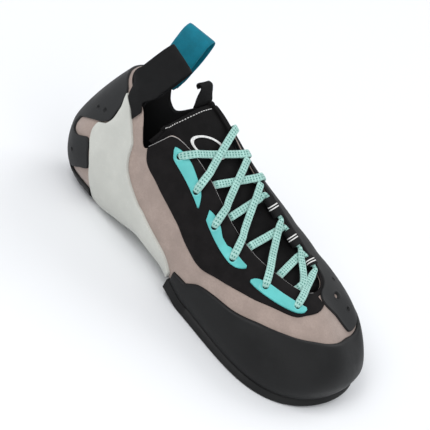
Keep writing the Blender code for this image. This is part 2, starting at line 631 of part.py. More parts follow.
def cut_holes(item, holes, parent):
    """Cut a lace hole through a piece at each ring and level."""
    for number, (ring, level) in enumerate(holes, start=1):
        centre = Vector(place(ring, level))
        normal = Vector(outward(place, np.array(ring), np.array(level)))
        bpy.ops.mesh.primitive_cylinder_add(vertices=12, radius=LACE_HOLE / 2, depth=0.012)
        cutter = bpy.context.object
        cutter.name = f"{item.name}_hole_{number}"
        cutter.location = centre
        cutter.rotation_mode = "QUATERNION"
        cutter.rotation_quaternion = Vector((0.0, 0.0, 1.0)).rotation_difference(normal)
        cutter.parent = parent
        cutter.hide_render = True
        cutter.display_type = "WIRE"
        cut = item.modifiers.new("lace hole", "BOOLEAN")
        cut.operation = "DIFFERENCE"
        cut.object = cutter


def make_eyelet_plates(materials, parent):
    """Three turquoise plates, each with two lace holes."""
    lift = LAY_GAP + FLAP_THICKNESS + GAP
    for number, table in enumerate(EYELET_PLATES, start=1):
        sections = []
        for ring, low, high in table:
            levels = edge_levels(low, high, 5, 0.015)
            sections.append(skin(ring, levels, lift, PLATE_THICKNESS))
        plate = loft(f"eyelet_plate_{number}", sections, materials["plate"], parent)
        cut_holes(plate, LACE_HOLES[2 * number - 2:2 * number], parent)


def make_tongue(materials, parent):
    """Padded tongue: it fills the throat and wraps under both edges up to the collar."""
    crossings = np.array([-0.35, -0.17, 0.0, 0.25, 0.5, 0.75, 1.0, 1.17, 1.35])
    puff = TONGUE_PUFF * np.sin(np.pi * np.clip(crossings, 0.0, 1.0)) ** 2
    sections = []
    for ring in lines_between(0.131, 0.455):
        narrowed = 1.0 - 0.2 * max(0.0, (ring - 0.40) / 0.055)
        line = 0.5 + (crossings - 0.5) * narrowed
        top = -(UPPER_WALL + 2.0 * GAP) + puff
        sections.append((on_top(ring, line, top), on_top(ring, line, top - TONGUE_THICKNESS)))
    return loft("tongue", sections, materials["microfibre"], parent)


def ribbon(path, sides, normals, width, thickness):
    """Sections of a flat strap along a path."""
    sections = []
    for point, side, normal in zip(path, sides, normals):
        left, right = point - side * width / 2, point + side * width / 2
        lift = normal * thickness / 2
        sections.append(([left + lift, right + lift], [left - lift, right - lift]))
    return sections


def unit(vectors):
    """Vectors scaled to length one."""
    return vectors / (np.linalg.norm(vectors, axis=-1, keepdims=True) + 1e-12)


def straight_rings(start_ring, start, end_ring, end, crossings, bow):
    """Ring values at which a taut strand passes each crossing: it stays in one plane."""
    first, last = over(start_ring, start), over(end_ring, end)
    ends = outward(over, np.array([start_ring, end_ring]), np.array([start, end]))
    plane = unit(np.cross(last - first, ends.sum(axis=0)))
    share = (crossings - start) / (end - start)
    target = first @ plane + bow * np.sin(np.pi * share)
    low = np.full_like(crossings, 0.135)
    high = np.full_like(crossings, 0.490)
    rising = np.sign((over(high, crossings) - over(low, crossings)) @ plane)
    for _ in range(36):
        middle = (low + high) / 2
        beyond = (over(middle, crossings) @ plane - target) * rising > 0.0
        high = np.where(beyond, middle, high)
        low = np.where(beyond, low, middle)
    return (low + high) / 2


def strand_path(start_ring, start, end_ring, end, lifts, bow):
    """Points and normals of a lace strand over the throat, bowed towards the toe."""
    crossings = start + (end - start) * np.linspace(0.0, 1.0, 9)
    rings = straight_rings(start_ring, start, end_ring, end, crossings, bow)
    first, middle, last = (value * LACE_THICKNESS for value in lifts)
    rise_in = np.clip((0.10 - crossings) / 0.20, 0.0, 1.0)
    rise_out = np.clip((crossings - 0.80) / 0.20, 0.0, 1.0)
    lift = middle + (first - middle) * rise_in + (last - middle) * rise_out
    return on_top(rings, crossings, lift), outward(over, rings, crossings)


def loop_path(rear, front, crossing):
    """Points, normals and side directions of the lace through one webbing loop."""
    rings = np.array([rear - 0.0095, rear, (rear + front) / 2, front, front + 0.0095])
    crossings = np.full_like(rings, crossing)
    path = on_top(rings, crossings, np.full_like(rings, LOOP_LIFT * LACE_THICKNESS))
    normals = outward(over, rings, crossings)
    return path, normals, unit(np.cross(normals, unit(np.gradient(path, axis=0))))


def make_lace(materials, parent):
    """Flat lace: its crossings and the runs inside the webbing loops joined as one solid."""
    runs = []
    for name, ring_a, cross_a, ring_b, cross_b, *lifts, bow in LACE_STRANDS:
        runs.append((name, *strand_path(ring_a, cross_a, ring_b, cross_b, lifts, bow)))
    for name, rear, front, crossing in LACE_LOOPS:
        runs.append((name, *loop_path(rear, front, crossing)[:2]))
    strands = []
    for number, (name, path, normals) in enumerate(runs):
        along = unit(np.gradient(path, axis=0))
        sides = unit(np.cross(normals, along))
        thickness = LACE_THICKNESS * (1.0 if number % 2 else 0.94)
        sections = ribbon(path, sides, normals, LACE_WIDTH, thickness)
        strands.append(loft(f"lace_{name}", sections, materials["lace"], parent))
    lace = strands[0]
    lace.name = "lace"
    for other in strands[1:]:
        join = lace.modifiers.new(other.name, "BOOLEAN")
        join.operation = "UNION"
        join.object = other
        other.hide_render = True
        other.display_type = "WIRE"
    return lace


def make_lace_loops(materials, parent):
    """Webbing loops that hold the lace along the inner throat edge."""
    half_width = LACE_WIDTH / 2 + LOOP_CLEARANCE
    half_height = LACE_THICKNESS / 2 + LOOP_CLEARANCE
    for name, rear, front, crossing in LACE_LOOPS:
        sections = []
        path, normals, sides = (rows[1:4] for rows in loop_path(rear, front, crossing))
        angles = np.linspace(0.0, 2.0 * math.pi, 12, endpoint=False)
        outer_tube, inner_tube = [], []
        for point, side, normal in zip(path, sides, normals):
            for tube, wall in ((outer_tube, LOOP_WALL), (inner_tube, 0.0)):
                wide = (half_width + wall) * np.sign(np.cos(angles)) * np.abs(np.cos(angles)) ** 0.7
                tall = (half_height + wall) * np.sign(np.sin(angles)) * np.abs(np.sin(angles)) ** 0.7
                tube.append(point + wide[:, None] * side + tall[:, None] * normal)
        for k in range(len(angles)):
            sections.append(([row[k] for row in outer_tube], [row[k] for row in inner_tube]))
        loft(name, sections, materials["black webbing"], parent, closed=True)


def pull_loop(name, sewn, free, tucked, material, parent):
    """Strap that is sewn on outside the collar, stands up in a loop and ends inside it.

    The sewn and tucked rows are (level, first ring, last ring, lift); the free rows are
    (middle point, width direction, outward direction).
    """
    shares = np.linspace(0.0, 1.0, 5)
    sections = []
    for level, first, last, lift in sewn:
        rings = first + (last - first) * shares
        sections.append((on_shape(rings, level, lift + PULL_THICKNESS),
                         on_shape(rings, level, lift)))
    for middle, across_way, out_way in free:
        middle, across_way, out_way = (np.array(value, float) for value in
                                       (middle, across_way, out_way))
        across_way, out_way = unit(across_way), unit(out_way)
        line = middle + np.outer(shares - 0.5, across_way) * PULL_WIDTH
        half = out_way * PULL_THICKNESS / 2
        sections.append((line + half, line - half))
    for level, first, last, lift in tucked:
        rings = first + (last - first) * shares
        sections.append((on_shape(rings, level, lift - PULL_THICKNESS),
                         on_shape(rings, level, lift)))
    return loft(name, sections, material, parent)


def make_pull_loops(materials, parent):
    """Outer black and inner teal pull loops on the two sides of the heel collar."""
    top = HEEL_HEIGHT
    inside = -(UPPER_WALL + 2.0 * GAP)
    lean = 0.40
    rows = []
    for height, out, turn in ((0.27, -0.0230, 0), (0.45, -0.0226, 0), (0.75, -0.0217, 0),
                              (0.93, -0.0198, 30), (1.00, -0.0165, 90), (0.94, -0.0134, 150),
                              (0.75, -0.0117, 180), (0.45, -0.0119, 180), (0.22, -0.0146, 180)):
        rise = height * PULL_HEIGHT
        angle = math.radians(turn)
        rows.append(((0.0395 + lean * rise, out, top + rise - 0.002), (1.0, 0.06, -lean),
                     (math.sin(angle) * lean, -math.cos(angle), math.sin(angle))))
    pull_loop("pull_loop_outer",
              ((0.86, 0.0945, 0.1085, LAY_GAP), (0.93, 0.0860, 0.1085, LAY_GAP),
               (1.06, 0.0690, 0.1050, 2.0 * LAY_GAP)),
              rows, ((1.06, 0.0690, 0.1050, inside), (0.90, 0.0720, 0.1040, inside)),
              materials["black webbing"], parent)
    lean = 0.14
    rows = []
    for height, out, turn in ((0.27, 0.0195, 0), (0.45, 0.0217, 0), (0.75, 0.0227, 0),
                              (0.93, 0.0217, 30), (1.00, 0.0183, 90), (0.94, 0.0150, 150),
                              (0.75, 0.0135, 180), (0.45, 0.0130, 180), (0.22, 0.0125, 180)):
        rise = height * PULL_HEIGHT
        angle = math.radians(turn)
        rows.append(((0.0375 + lean * rise, out, top + rise - 0.001), (1.0, 0.05, -0.02),
                     (math.sin(angle) * lean, math.cos(angle), math.sin(angle))))
    pull_loop("pull_loop_inner",
              ((0.965, 0.9640, 0.9130, LAY_GAP), (1.06, 0.9640, 0.9130, 2.0 * LAY_GAP)),
              rows, ((1.06, 0.9640, 0.9130, inside), (0.90, 0.9620, 0.9150, inside)),
              materials["teal webbing"], parent)


def make_tongue_pull(materials, parent):
    """Small folded tab that stands on the tongue's top edge."""
    base = on_top(0.1315, 0.66, TONGUE_PUFF - UPPER_WALL - GAP - TONGUE_THICKNESS / 2)
    side = unit(on_top(0.1315, 0.80, 0.0) - on_top(0.1315, 0.52, 0.0))
    rear = unit(over(0.131, 0.66) - over(0.150, 0.66))
    up = unit(np.array([-0.12, 0.0, 1.0]))
    lift = base + rear * (TAB_THICKNESS / 2 + 4.0 * GAP)
    sections = []
    for rise, push in ((-0.25, 0.0), (0.0, 0.0), (0.35, 0.2), (0.7, 0.3), (1.0, 0.1)):
        point = lift + up * TAB_HEIGHT * rise + rear * 0.002 * push
        left, right = point - side * TAB_WIDTH / 2, point + side * TAB_WIDTH / 2
        half = rear * TAB_THICKNESS / 2
        sections.append(([left + half, point + half, right + half],
                         [left - half, point - half, right - half]))
    return loft("tongue_pull", sections, materials["black webbing"], parent)


def make_materials():
    """Every material of the shoe by its plain name."""
    return {
        "suede": surface_material("suede", (0.39, 0.32, 0.27), 0.95),
        "black rubber": surface_material("black_rubber", (0.014, 0.014, 0.015), 0.55),
        "grey rubber": surface_material("grey_rubber", (0.035, 0.036, 0.037), 0.60),
        "pale rubber": surface_material("pale_rubber", (0.50, 0.51, 0.47), 0.55),
        "microfibre": surface_material("microfibre", (0.014, 0.013, 0.013), 0.80),
        "plate": surface_material("plate", (0.11, 0.52, 0.50), 0.45),
        "lining": surface_material("lining", (0.02, 0.02, 0.02), 0.90),
        "black webbing": surface_material("black_webbing", (0.012, 0.012, 0.012), 0.85),
        "teal webbing": surface_material("teal_webbing", (0.005, 0.17, 0.24), 0.75),
        "lace": surface_material("lace", (0.30, 0.64, 0.56), 0.80),
    }


def stand_on_origin(holder):
    """Move the shoe so that the middle of its bounding box, on the floor, is the origin."""
    bpy.context.view_layer.update()
    lows, highs = [], []
    graph = bpy.context.evaluated_depsgraph_get()
    for item in bpy.data.objects:
        if item.type != "MESH" or item.hide_render:
            continue
        data = item.evaluated_get(graph).data
        points = np.empty(len(data.vertices) * 3)
        data.vertices.foreach_get("co", points)
        points = points.reshape(-1, 3)
        lows.append(points.min(axis=0))
        highs.append(points.max(axis=0))
    low, high = np.min(lows, axis=0), np.max(highs, axis=0)
    holder.location = (-(low[0] + high[0]) / 2, -(low[1] + high[1]) / 2, -low[2])


def main():
    """Clear the file and build every piece under one empty."""
    for item in list(bpy.data.objects):
        bpy.data.objects.remove(item, do_unlink=True)
    holder = bpy.data.objects.new("shoe", None)
    bpy.context.collection.objects.link(holder)
    materials = make_materials()
    make_upper(materials, holder)
    make_outsole(materials, holder)
    make_heel_sole(materials, holder)
    make_insole(materials, holder)
    make_tongue(materials, holder)
    make_toe_rand(materials, holder)
    make_toe_patch(materials, holder)
    make_heel_rand(materials, holder)
    make_heel_patch(materials, holder)
    make_flap(materials, holder)
    make_eyelet_plates(materials, holder)
    make_lace(materials, holder)
    make_lace_loops(materials, holder)
    make_pull_loops(materials, holder)
    make_tongue_pull(materials, holder)
    stand_on_origin(holder)


if __name__ == "__main__":
    main()
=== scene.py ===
import logging
import math
from dataclasses import dataclass
from enum import Enum
from typing import Any, Callable, Iterable, Optional, Sequence

import bpy
import numpy as np
from mathutils import Matrix, Vector


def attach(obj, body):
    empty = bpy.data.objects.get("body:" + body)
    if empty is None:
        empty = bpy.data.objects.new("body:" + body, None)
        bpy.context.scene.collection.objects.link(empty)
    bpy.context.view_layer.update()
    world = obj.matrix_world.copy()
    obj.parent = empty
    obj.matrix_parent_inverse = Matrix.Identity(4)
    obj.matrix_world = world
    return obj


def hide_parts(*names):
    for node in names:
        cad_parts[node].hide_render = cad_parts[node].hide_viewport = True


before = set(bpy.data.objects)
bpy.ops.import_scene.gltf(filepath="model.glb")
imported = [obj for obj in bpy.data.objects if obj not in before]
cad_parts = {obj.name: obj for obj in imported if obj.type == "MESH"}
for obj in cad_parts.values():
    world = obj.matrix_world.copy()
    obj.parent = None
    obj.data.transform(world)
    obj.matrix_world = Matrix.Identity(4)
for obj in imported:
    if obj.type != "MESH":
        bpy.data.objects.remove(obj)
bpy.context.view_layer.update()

BODY = "root"
UV_NAME = "lay"
LOG = logging.getLogger("climbing_shoe")

RING_LENGTH = 0.62  # rough metres of the shoe's side in one whole ring value
BEDDING = 0.00005  # gap between a sheet and what it lies on

Array = np.ndarray
Colour = tuple[float, float, float]
Table = tuple[tuple[float, ...], ...]


# ---------------------------------------------------------------- shader maths

class Signal:
    """A value socket whose operators add Math nodes."""

    def __init__(self, shop: "ShaderShop", socket: Any) -> None:
        """Keep the node tree's shop and the socket.

        Args:
            shop: builder of the nodes.
            socket: output socket, or a plain number.
        """
        self.shop = shop
        self.socket = socket

    def _math(self, operation: str, other: Any = 0.0) -> "Signal":
        """Add a Math node.

        Args:
            operation: Blender's name of the sum.
            other: second value.

        Returns:
            The node's result.
        """
        return self.shop.node("ShaderNodeMath", {"operation": operation}, [self, other])

    def __add__(self, other: Any) -> "Signal":
        """Sum."""
        return self._math("ADD", other)

    def __mul__(self, other: Any) -> "Signal":
        """Product."""
        return self._math("MULTIPLY", other)

    def __sub__(self, other: Any) -> "Signal":
        """Difference."""
        return self._math("SUBTRACT", other)

    def sine(self) -> "Signal":
        """Sine."""
        return self._math("SINE")

    def size(self) -> "Signal":
        """Absolute value."""
        return self._math("ABSOLUTE")

    def largest(self, other: Any) -> "Signal":
        """The higher of two values."""
        return self._math("MAXIMUM", other)

    def spread(self, low: float, high: float, first: float = 0.0, last: float = 1.0) -> "Signal":
        """Map a range onto another, smoothly and clamped.

        Args:
            low: start of the range.
            high: end of the range.
            first: result at the start.
            last: result at the end.

        Returns:
            The mapped value.
        """
        return self.shop.node("ShaderNodeMapRange", {"interpolation_type": "SMOOTHSTEP"},
                              [self, low, high, first, last])


class ShaderShop:
    """Builds the nodes of one material."""

    def __init__(self, name: str) -> None:
        """Start a material.

        Args:
            name: the material's name.
        """
        self.material = bpy.data.materials.new(name)
        self.material.use_nodes = True
        self.tree = self.material.node_tree
        self.shader = self.tree.nodes["Principled BSDF"]

    def node(self, kind: str, settings: dict[str, Any], inputs: Any = (),
             output: int = 0) -> Signal:
        """Add a node, set its settings, then its inputs.

        Args:
            kind: Blender's name of the node's type.
            settings: attributes that are set first.
            inputs: list by place, or dict by name, of values and signals.
            output: number of the output that is wanted.

        Returns:
            The output as a signal.
        """
        made = self.tree.nodes.new(kind)
        for key, value in settings.items():
            setattr(made, key, value)
        pairs = inputs.items() if isinstance(inputs, dict) else enumerate(inputs)
        for key, value in pairs:
            self.join(value, made.inputs[key])
        return Signal(self, made.outputs[output])

    def join(self, value: Any, socket: Any) -> None:
        """Link a signal to a socket, or set the socket's value.

        Args:
            value: signal, number or tuple.
            socket: input socket.
        """
        if isinstance(value, Signal):
            self.tree.links.new(value.socket, socket)
        else:
            socket.default_value = value

    def place(self) -> Signal:
        """Object coordinates, in metres."""
        return self.node("ShaderNodeTexCoord", {}, (), 3)

    def along(self) -> tuple[Signal, Signal]:
        """Two coordinates of the piece's own lay, in metres.

        Returns:
            The way along and the way across.
        """
        lay = self.node("ShaderNodeUVMap", {"uv_map": UV_NAME})
        split = self.node("ShaderNodeSeparateXYZ", {}, [lay])
        return split, Signal(self, split.socket.node.outputs[1])

    def noise(self, scale: float, detail: float = 3.0, rough: float = 0.55,
              where: Optional[Signal] = None) -> Signal:
        """Fractal noise around 0.5.

        Args:
            scale: waves a metre.
            detail: octaves.
            rough: share that each octave keeps.
            where: coordinates, the piece's place if none.

        Returns:
            The noise.
        """
        return self.node("ShaderNodeTexNoise", {}, {
            "Vector": where or self.place(), "Scale": scale, "Detail": detail,
            "Roughness": rough})

    def blend(self, share: Any, first: Any, second: Any) -> Signal:
        """Mix two colours.

        Args:
            share: share of the second.
            first: colour or signal.
            second: colour or signal.

        Returns:
            The mixed colour.
        """
        made = self.tree.nodes.new("ShaderNodeMix")
        made.data_type = "RGBA"
        self.join(share, made.inputs[0])
        for value, number in ((first, 6), (second, 7)):
            rgba = (*value, 1.0) if isinstance(value, tuple) and len(value) == 3 else value
            self.join(rgba, made.inputs[number])
        return Signal(self, made.outputs[2])

    def clouded(self, share: Signal, colour: Colour, dark: float, light: float) -> Signal:
        """A colour that varies between a darker and a lighter shade of itself.

        Args:
            share: share of the lighter shade.
            colour: linear colour.
            dark: factor of the darker shade.
            light: factor of the lighter shade.

        Returns:
            The varied colour.
        """
        return self.blend(share, shade(colour, dark), shade(colour, light))

    def finish(self, colour: Any, rough: Any, height: Optional[Signal] = None,
               depth: float = 0.0002, **fixed: float) -> bpy.types.Material:
        """Feed the shader.

        Args:
            colour: colour or signal.
            rough: roughness, number or signal.
            height: bump height from 0 to 1.
            depth: what a height of one is in metres.
            **fixed: sockets that are the same all over, by name with _ for a space.

        Returns:
            The finished material.
        """
        inputs = self.shader.inputs
        rgba = (*colour, 1.0) if isinstance(colour, tuple) else colour
        self.join(rgba, inputs["Base Color"])
        self.join(rough, inputs["Roughness"])
        for key, value in fixed.items():
            inputs[key.replace("_", " ")].default_value = value
        if height is not None:
            bump = self.node("ShaderNodeBump", {}, {"Strength": 1.0, "Distance": depth,
                                                    "Height": height})
            self.join(bump, inputs["Normal"])
        return self.material


def shade(colour: Colour, factor: float) -> Colour:
    """A colour made lighter or darker.

    Args:
        colour: linear colour.
        factor: what each part is multiplied by.

    Returns:
        The new colour.
    """
    return tuple(min(1.0, part * factor) for part in colour)


# ---------------------------------------------------------------- finishes

@dataclass(frozen=True)
class Suede:
    """Napped split leather: clouded nap, short fibres and a little rubbed sheen."""

    name: str = "suede_nap"
    colour: Colour = (0.350, 0.275, 0.240)
    cloud_scale: float = 85.0
    fibre_scale: float = 2600.0
    grain_scale: float = 760.0

    def build(self) -> bpy.types.Material:
        """Make the material."""
        shop = ShaderShop(self.name)
        cloud = shop.noise(self.cloud_scale, 4.0)
        grain = shop.noise(self.grain_scale, 4.0, 0.7)
        fibre = shop.noise(self.fibre_scale, 3.0, 0.7)
        tone = shop.clouded(cloud.spread(0.3, 0.7), self.colour, 0.90, 1.10)
        tone = shop.blend(grain.spread(0.25, 0.75) * 0.5, tone, shade(self.colour, 0.76))
        tone = shop.blend(fibre.spread(0.55, 0.8) * 0.35, tone, shade(self.colour, 1.35))
        height = grain * 0.6 + fibre * 0.4
        return shop.finish(tone, 0.93, height, 0.00028, Sheen_Weight=0.25, Sheen_Roughness=0.5,
                           Specular_IOR_Level=0.25)


@dataclass(frozen=True)
class Microfibre:
    """Black synthetic suede: tight short pile with faint lighter flecks."""

    name: str = "black_microfibre"
    colour: Colour = (0.0078, 0.0068, 0.0070)
    pile_scale: float = 1500.0
    depth: float = 0.00016
    rough: float = 0.82

    def build(self) -> bpy.types.Material:
        """Make the material."""
        shop = ShaderShop(self.name)
        cloud = shop.noise(130.0, 3.0)
        pile = shop.noise(self.pile_scale, 3.0, 0.7)
        tone = shop.clouded(cloud.spread(0.3, 0.7), self.colour, 0.82, 1.25)
        tone = shop.blend(pile.spread(0.58, 0.8) * 0.5, tone, shade(self.colour, 2.3))
        return shop.finish(tone, self.rough, pile, self.depth, Specular_IOR_Level=0.12)


@dataclass(frozen=True)
class Rubber:
    """Moulded sheet rubber: satin, dusted, with fine orange peel and rubbed spots."""

    name: str = "black_rubber_sheet"
    colour: Colour = (0.0068, 0.0070, 0.0072)
    dust: float = 1.6
    rough: float = 0.50
    peel: float = 0.00010
    peel_scale: float = 1100.0

    def build(self) -> bpy.types.Material:
        """Make the material."""
        shop = ShaderShop(self.name)
        cloud = shop.noise(48.0, 5.0, 0.6)
        fine = shop.noise(self.peel_scale, 3.0, 0.6)
        tone = shop.clouded(cloud.spread(0.35, 0.75), self.colour, 0.92, self.dust)
        tone = shop.blend(fine.spread(0.62, 0.78) * 0.3, tone, shade(self.colour, 1.9))
        rough = cloud.spread(0.3, 0.7, self.rough - 0.07, self.rough + 0.10)
        return shop.finish(tone, rough, fine * 0.7 + cloud * 0.3, self.peel,
                           Specular_IOR_Level=0.22)


@dataclass(frozen=True)
class Plate:
    """Moulded soft plastic with a fine matt grain."""

    name: str = "turquoise_plate"
    colour: Colour = (0.098, 0.480, 0.465)

    def build(self) -> bpy.types.Material:
        """Make the material."""
        shop = ShaderShop(self.name)
        cloud = shop.noise(90.0, 3.0)
        grain = shop.noise(1800.0, 2.0)
        tone = shop.clouded(cloud.spread(0.3, 0.7), self.colour, 0.92, 1.08)
        rough = cloud.spread(0.3, 0.7, 0.36, 0.48)
        return shop.finish(tone, rough, grain, 0.00003)


@dataclass(frozen=True)
class Webbing:
    """Narrow woven tape: ribs across the tape, warp along it and optional stripes, with painted
    shade in the weave's grooves and a painted highlight on its ribs.

    Stripes are pairs of start and end in metres along the tape.
    """

    name: str = "black_tape"
    colour: Colour = (0.0068, 0.0068, 0.0072)
    rib: float = 0.00062
    warp: float = 0.00085
    rough: float = 0.80
    depth: float = 0.00020
    stripes: tuple[tuple[float, float], ...] = ()
    stripe_colour: Colour = (0.80, 0.80, 0.78)

    def build(self) -> bpy.types.Material:
        """Make the material."""
        shop = ShaderShop(self.name)
        along, across = shop.along()
        rib = (along * (2.0 * math.pi / self.rib)).sine()
        warp = (across * (2.0 * math.pi / self.warp)).sine()
        weave = rib * warp * 0.5 + 0.5
        cloud = shop.noise(220.0, 3.0)
        # Painted shade and highlight: the colour follows the weave's height, darker in its
        # grooves and lighter on its ribs.
        tone = shop.clouded(weave, self.colour, 0.70, 1.35)
        tone = shop.blend(cloud.spread(0.3, 0.7) * 0.35, tone, shade(self.colour, 1.6))
        for start, end in self.stripes:
            middle, half = (start + end) / 2.0, (end - start) / 2.0
            mark = (along - middle).size().spread(half, half * 0.75)
            tone = shop.blend(mark, tone, self.stripe_colour)
        return shop.finish(tone, self.rough, weave, self.depth, Specular_IOR_Level=0.2)


@dataclass(frozen=True)
class LaceWeave:
    """Flat braided lace: mint with rows of darker green checks, pale edges and painted shade in
    the braid's grooves.
    """

    name: str = "mint_lace"
    colour: Colour = (0.385, 0.640, 0.580)
    check: Colour = (0.085, 0.270, 0.230)
    row: float = 0.00207
    column: float = 0.00150
    braid: float = 0.00085
    width: float = 0.0050

    def build(self) -> bpy.types.Material:
        """Make the material."""
        shop = ShaderShop(self.name)
        along, across = shop.along()
        turn = 2.0 * math.pi
        rows = (along * (turn / self.row)).sine()
        columns = (across * (turn / self.column) + 0.6).sine()
        check = rows.spread(-0.35, 0.45) * columns.spread(-0.90, 0.20)
        inside = (across - self.width / 2.0).size().spread(self.width * 0.46, self.width * 0.36)
        braid = ((along + across) * (turn / self.braid)).sine()
        cross = ((along - across) * (turn / self.braid)).sine()
        weave = braid.largest(cross) * 0.5 + 0.5
        cloud = shop.noise(260.0, 3.0)
        tone = shop.clouded(cloud.spread(0.3, 0.7), self.colour, 0.88, 1.12)
        tone = shop.blend(check * inside, tone, self.check)
        # Painted shade: the braid's grooves, where its height is lowest, are darkened.
        tone = shop.blend(weave.spread(0.5, 0.1) * 0.15, tone, shade(self.check, 0.7))
        return shop.finish(tone, 0.78, weave * 0.6 + rows * 0.2 + 0.2, 0.00022,
                           Sheen_Weight=0.1)


@dataclass(frozen=True)
class Thread:
    """Thin twisted thread, cord edge or cloth of one colour."""

    name: str = "pale_thread"
    colour: Colour = (0.62, 0.61, 0.58)
    rough: float = 0.7
    scale: float = 2400.0

    def build(self) -> bpy.types.Material:
        """Make the material."""
        shop = ShaderShop(self.name)
        twist = shop.noise(self.scale, 2.0)
        tone = shop.clouded(twist.spread(0.3, 0.7), self.colour, 0.8, 1.15)
        return shop.finish(tone, self.rough, twist, 0.00008)


@dataclass(frozen=True)
class Paper:
    """Plain pale studio floor."""

    name: str = "pale_floor"
    colour: Colour = (0.855, 0.865, 0.880)

    def build(self) -> bpy.types.Material:
        """Make the material."""
        shop = ShaderShop(self.name)
        return shop.finish(self.colour, 0.9)


class Cloth(Enum):
    """The finishes of the shoe."""

    SUEDE = Suede()
    FLAP = Microfibre()
    TONGUE = Microfibre(name="tongue_cloth", colour=(0.0062, 0.0058, 0.0060), pile_scale=1100.0,
                        depth=0.00022)
    BLACK_RUBBER = Rubber()
    GREY_RUBBER = Rubber(name="dark_grey_rubber", colour=(0.0165, 0.0170, 0.0175), dust=1.3,
                         rough=0.55, peel=0.00014, peel_scale=1500.0)
    PALE_RUBBER = Rubber(name="pale_rubber_sheet", colour=(0.535, 0.540, 0.500), dust=1.06,
                         rough=0.50, peel=0.00006)
    PLATE = Plate()
    BLACK_TAPE = Webbing()
    LOOP_TAPE = Webbing(name="striped_tape", rib=0.0007,
                        stripes=((0.00885, 0.00965), (0.0105, 0.0113)))
    TEAL_TAPE = Webbing(name="teal_tape", colour=(0.002, 0.150, 0.215), rough=0.50, rib=0.0005,
                        warp=0.0008, depth=0.00012)
    LACE = LaceWeave()
    LINING = Thread(name="dark_lining", colour=(0.010, 0.010, 0.011), rough=0.95, scale=1700.0)
    PIPING = Thread(name="pale_piping", colour=(0.42, 0.41, 0.40), rough=0.6)
    STITCH = Thread(name="white_stitch", colour=(0.72, 0.71, 0.69))
    BADGE = Thread(name="plain_badge", colour=(0.76, 0.76, 0.75), rough=0.5, scale=900.0)
    FLOOR = Paper()

    def material(self) -> bpy.types.Material:
        """The material, made once."""
        found = bpy.data.materials.get(self.value.name)
        return found or self.value.build()


# ---------------------------------------------------------------- curves

def even_curve(xs: Sequence[float], ys: Sequence[float], at: Any) -> Array:
    """Smooth curve through a table, level wherever the table is level.

    Args:
        xs: rising places.
        ys: values at them.
        at: where the curve is wanted.

    Returns:
        The curve's values.
    """
    xs, ys = np.asarray(xs, float), np.asarray(ys, float)
    steps = np.diff(xs)
    slopes = np.diff(ys) / steps
    tangents = np.concatenate([slopes[:1], np.zeros(len(xs) - 2), slopes[-1:]])
    for k in range(1, len(xs) - 1):
        if slopes[k - 1] * slopes[k] > 0.0:
            first = 2.0 * steps[k] + steps[k - 1]
            second = steps[k] + 2.0 * steps[k - 1]
            tangents[k] = (first + second) / (first / slopes[k - 1] + second / slopes[k])
    at = np.clip(at, xs[0], xs[-1])
    k = np.clip(np.searchsorted(xs, at, side="right") - 1, 0, len(xs) - 2)
    s = (at - xs[k]) / steps[k]
    rest = 1.0 - s
    start = (1.0 + 2.0 * s) * rest ** 2 * ys[k] + s * rest ** 2 * steps[k] * tangents[k]
    end = s * s * (3.0 - 2.0 * s) * ys[k + 1] - s * s * rest * steps[k] * tangents[k + 1]
    return start + end


def column(table: Table, number: int) -> list[float]:
    """One column of a table."""
    return [row[number] for row in table]


def reach_along(path: Array) -> Array:
    """Length of a path from its start to each of its points."""
    return np.concatenate([[0.0], np.cumsum(np.linalg.norm(np.diff(path, axis=0), axis=1))])


def swollen(wave: Array, power: float) -> Array:
    """A sine or cosine whose size is raised to a power and whose sign is kept."""
    return np.sign(wave) * np.abs(wave) ** power


def picked(share: Array, count: int) -> Array:
    """Whole numbers from 0 to count - 1 that shares from 0 to 1 stand for."""
    return np.rint(share * (count - 1)).astype(int)


def through(points: Array, count: int) -> Array:
    """Even smooth line through points.

    Args:
        points: points in order, one a row.
        count: points wanted.

    Returns:
        Points the same distance apart.
    """
    gaps = np.linalg.norm(np.diff(points, axis=0), axis=1) ** 0.5
    knots = np.concatenate([[0.0], np.cumsum(gaps)])
    tangents = np.gradient(points, knots, axis=0)
    fine = np.linspace(0.0, knots[-1], 12 * count)
    k = np.clip(np.searchsorted(knots, fine, side="right") - 1, 0, len(knots) - 2)
    step = (knots[k + 1] - knots[k])[:, None]
    s = (fine[:, None] - knots[k][:, None]) / step
    line = ((1 + 2 * s) * (1 - s) ** 2 * points[k] + s * (1 - s) ** 2 * step * tangents[k]
            + s * s * (3 - 2 * s) * points[k + 1] - s * s * (1 - s) * step * tangents[k + 1])
    reach = reach_along(line)
    even = np.linspace(0.0, reach[-1], count)
    return np.stack([np.interp(even, reach, line[:, axis]) for axis in range(3)], 1)


def unit(vectors: Array) -> Array:
    """Vectors scaled to length one."""
    return vectors / (np.linalg.norm(vectors, axis=-1, keepdims=True) + 1e-12)


def round_over(distance: Array, radius: float, height: float) -> Array:
    """Height lost near a rounded edge.

    Args:
        distance: distance from the edge.
        radius: width of the rounding.
        height: height lost at the edge.

    Returns:
        The loss at each distance.
    """
    share = 1.0 - np.clip(distance / radius, 0.0, 1.0)
    return height * (1.0 - np.sqrt(np.maximum(1.0 - share ** 2, 0.0)))


# ---------------------------------------------------------------- the last

@dataclass(frozen=True)
class Crease:
    """Soft trough (or ridge, with a negative depth) between two places on the last."""

    start: tuple[float, float]
    end: tuple[float, float]
    depth: float
    width: float

    def lift(self, last: "Last", points: Array) -> Array:
        """Height that the crease adds.

        Args:
            last: the shoe's shape.
            points: points on it.

        Returns:
            Height at each point.
        """
        first, second = last.place(*self.start), last.place(*self.end)
        span = second - first
        share = np.clip(((points - first) @ span) / (span @ span), 0.0, 1.0)
        gap = np.linalg.norm(points - first - share[..., None] * span, axis=-1)
        fade = 0.25 + 0.75 * np.sin(np.pi * share)
        return -self.depth * fade * np.exp(-(gap / self.width) ** 2)


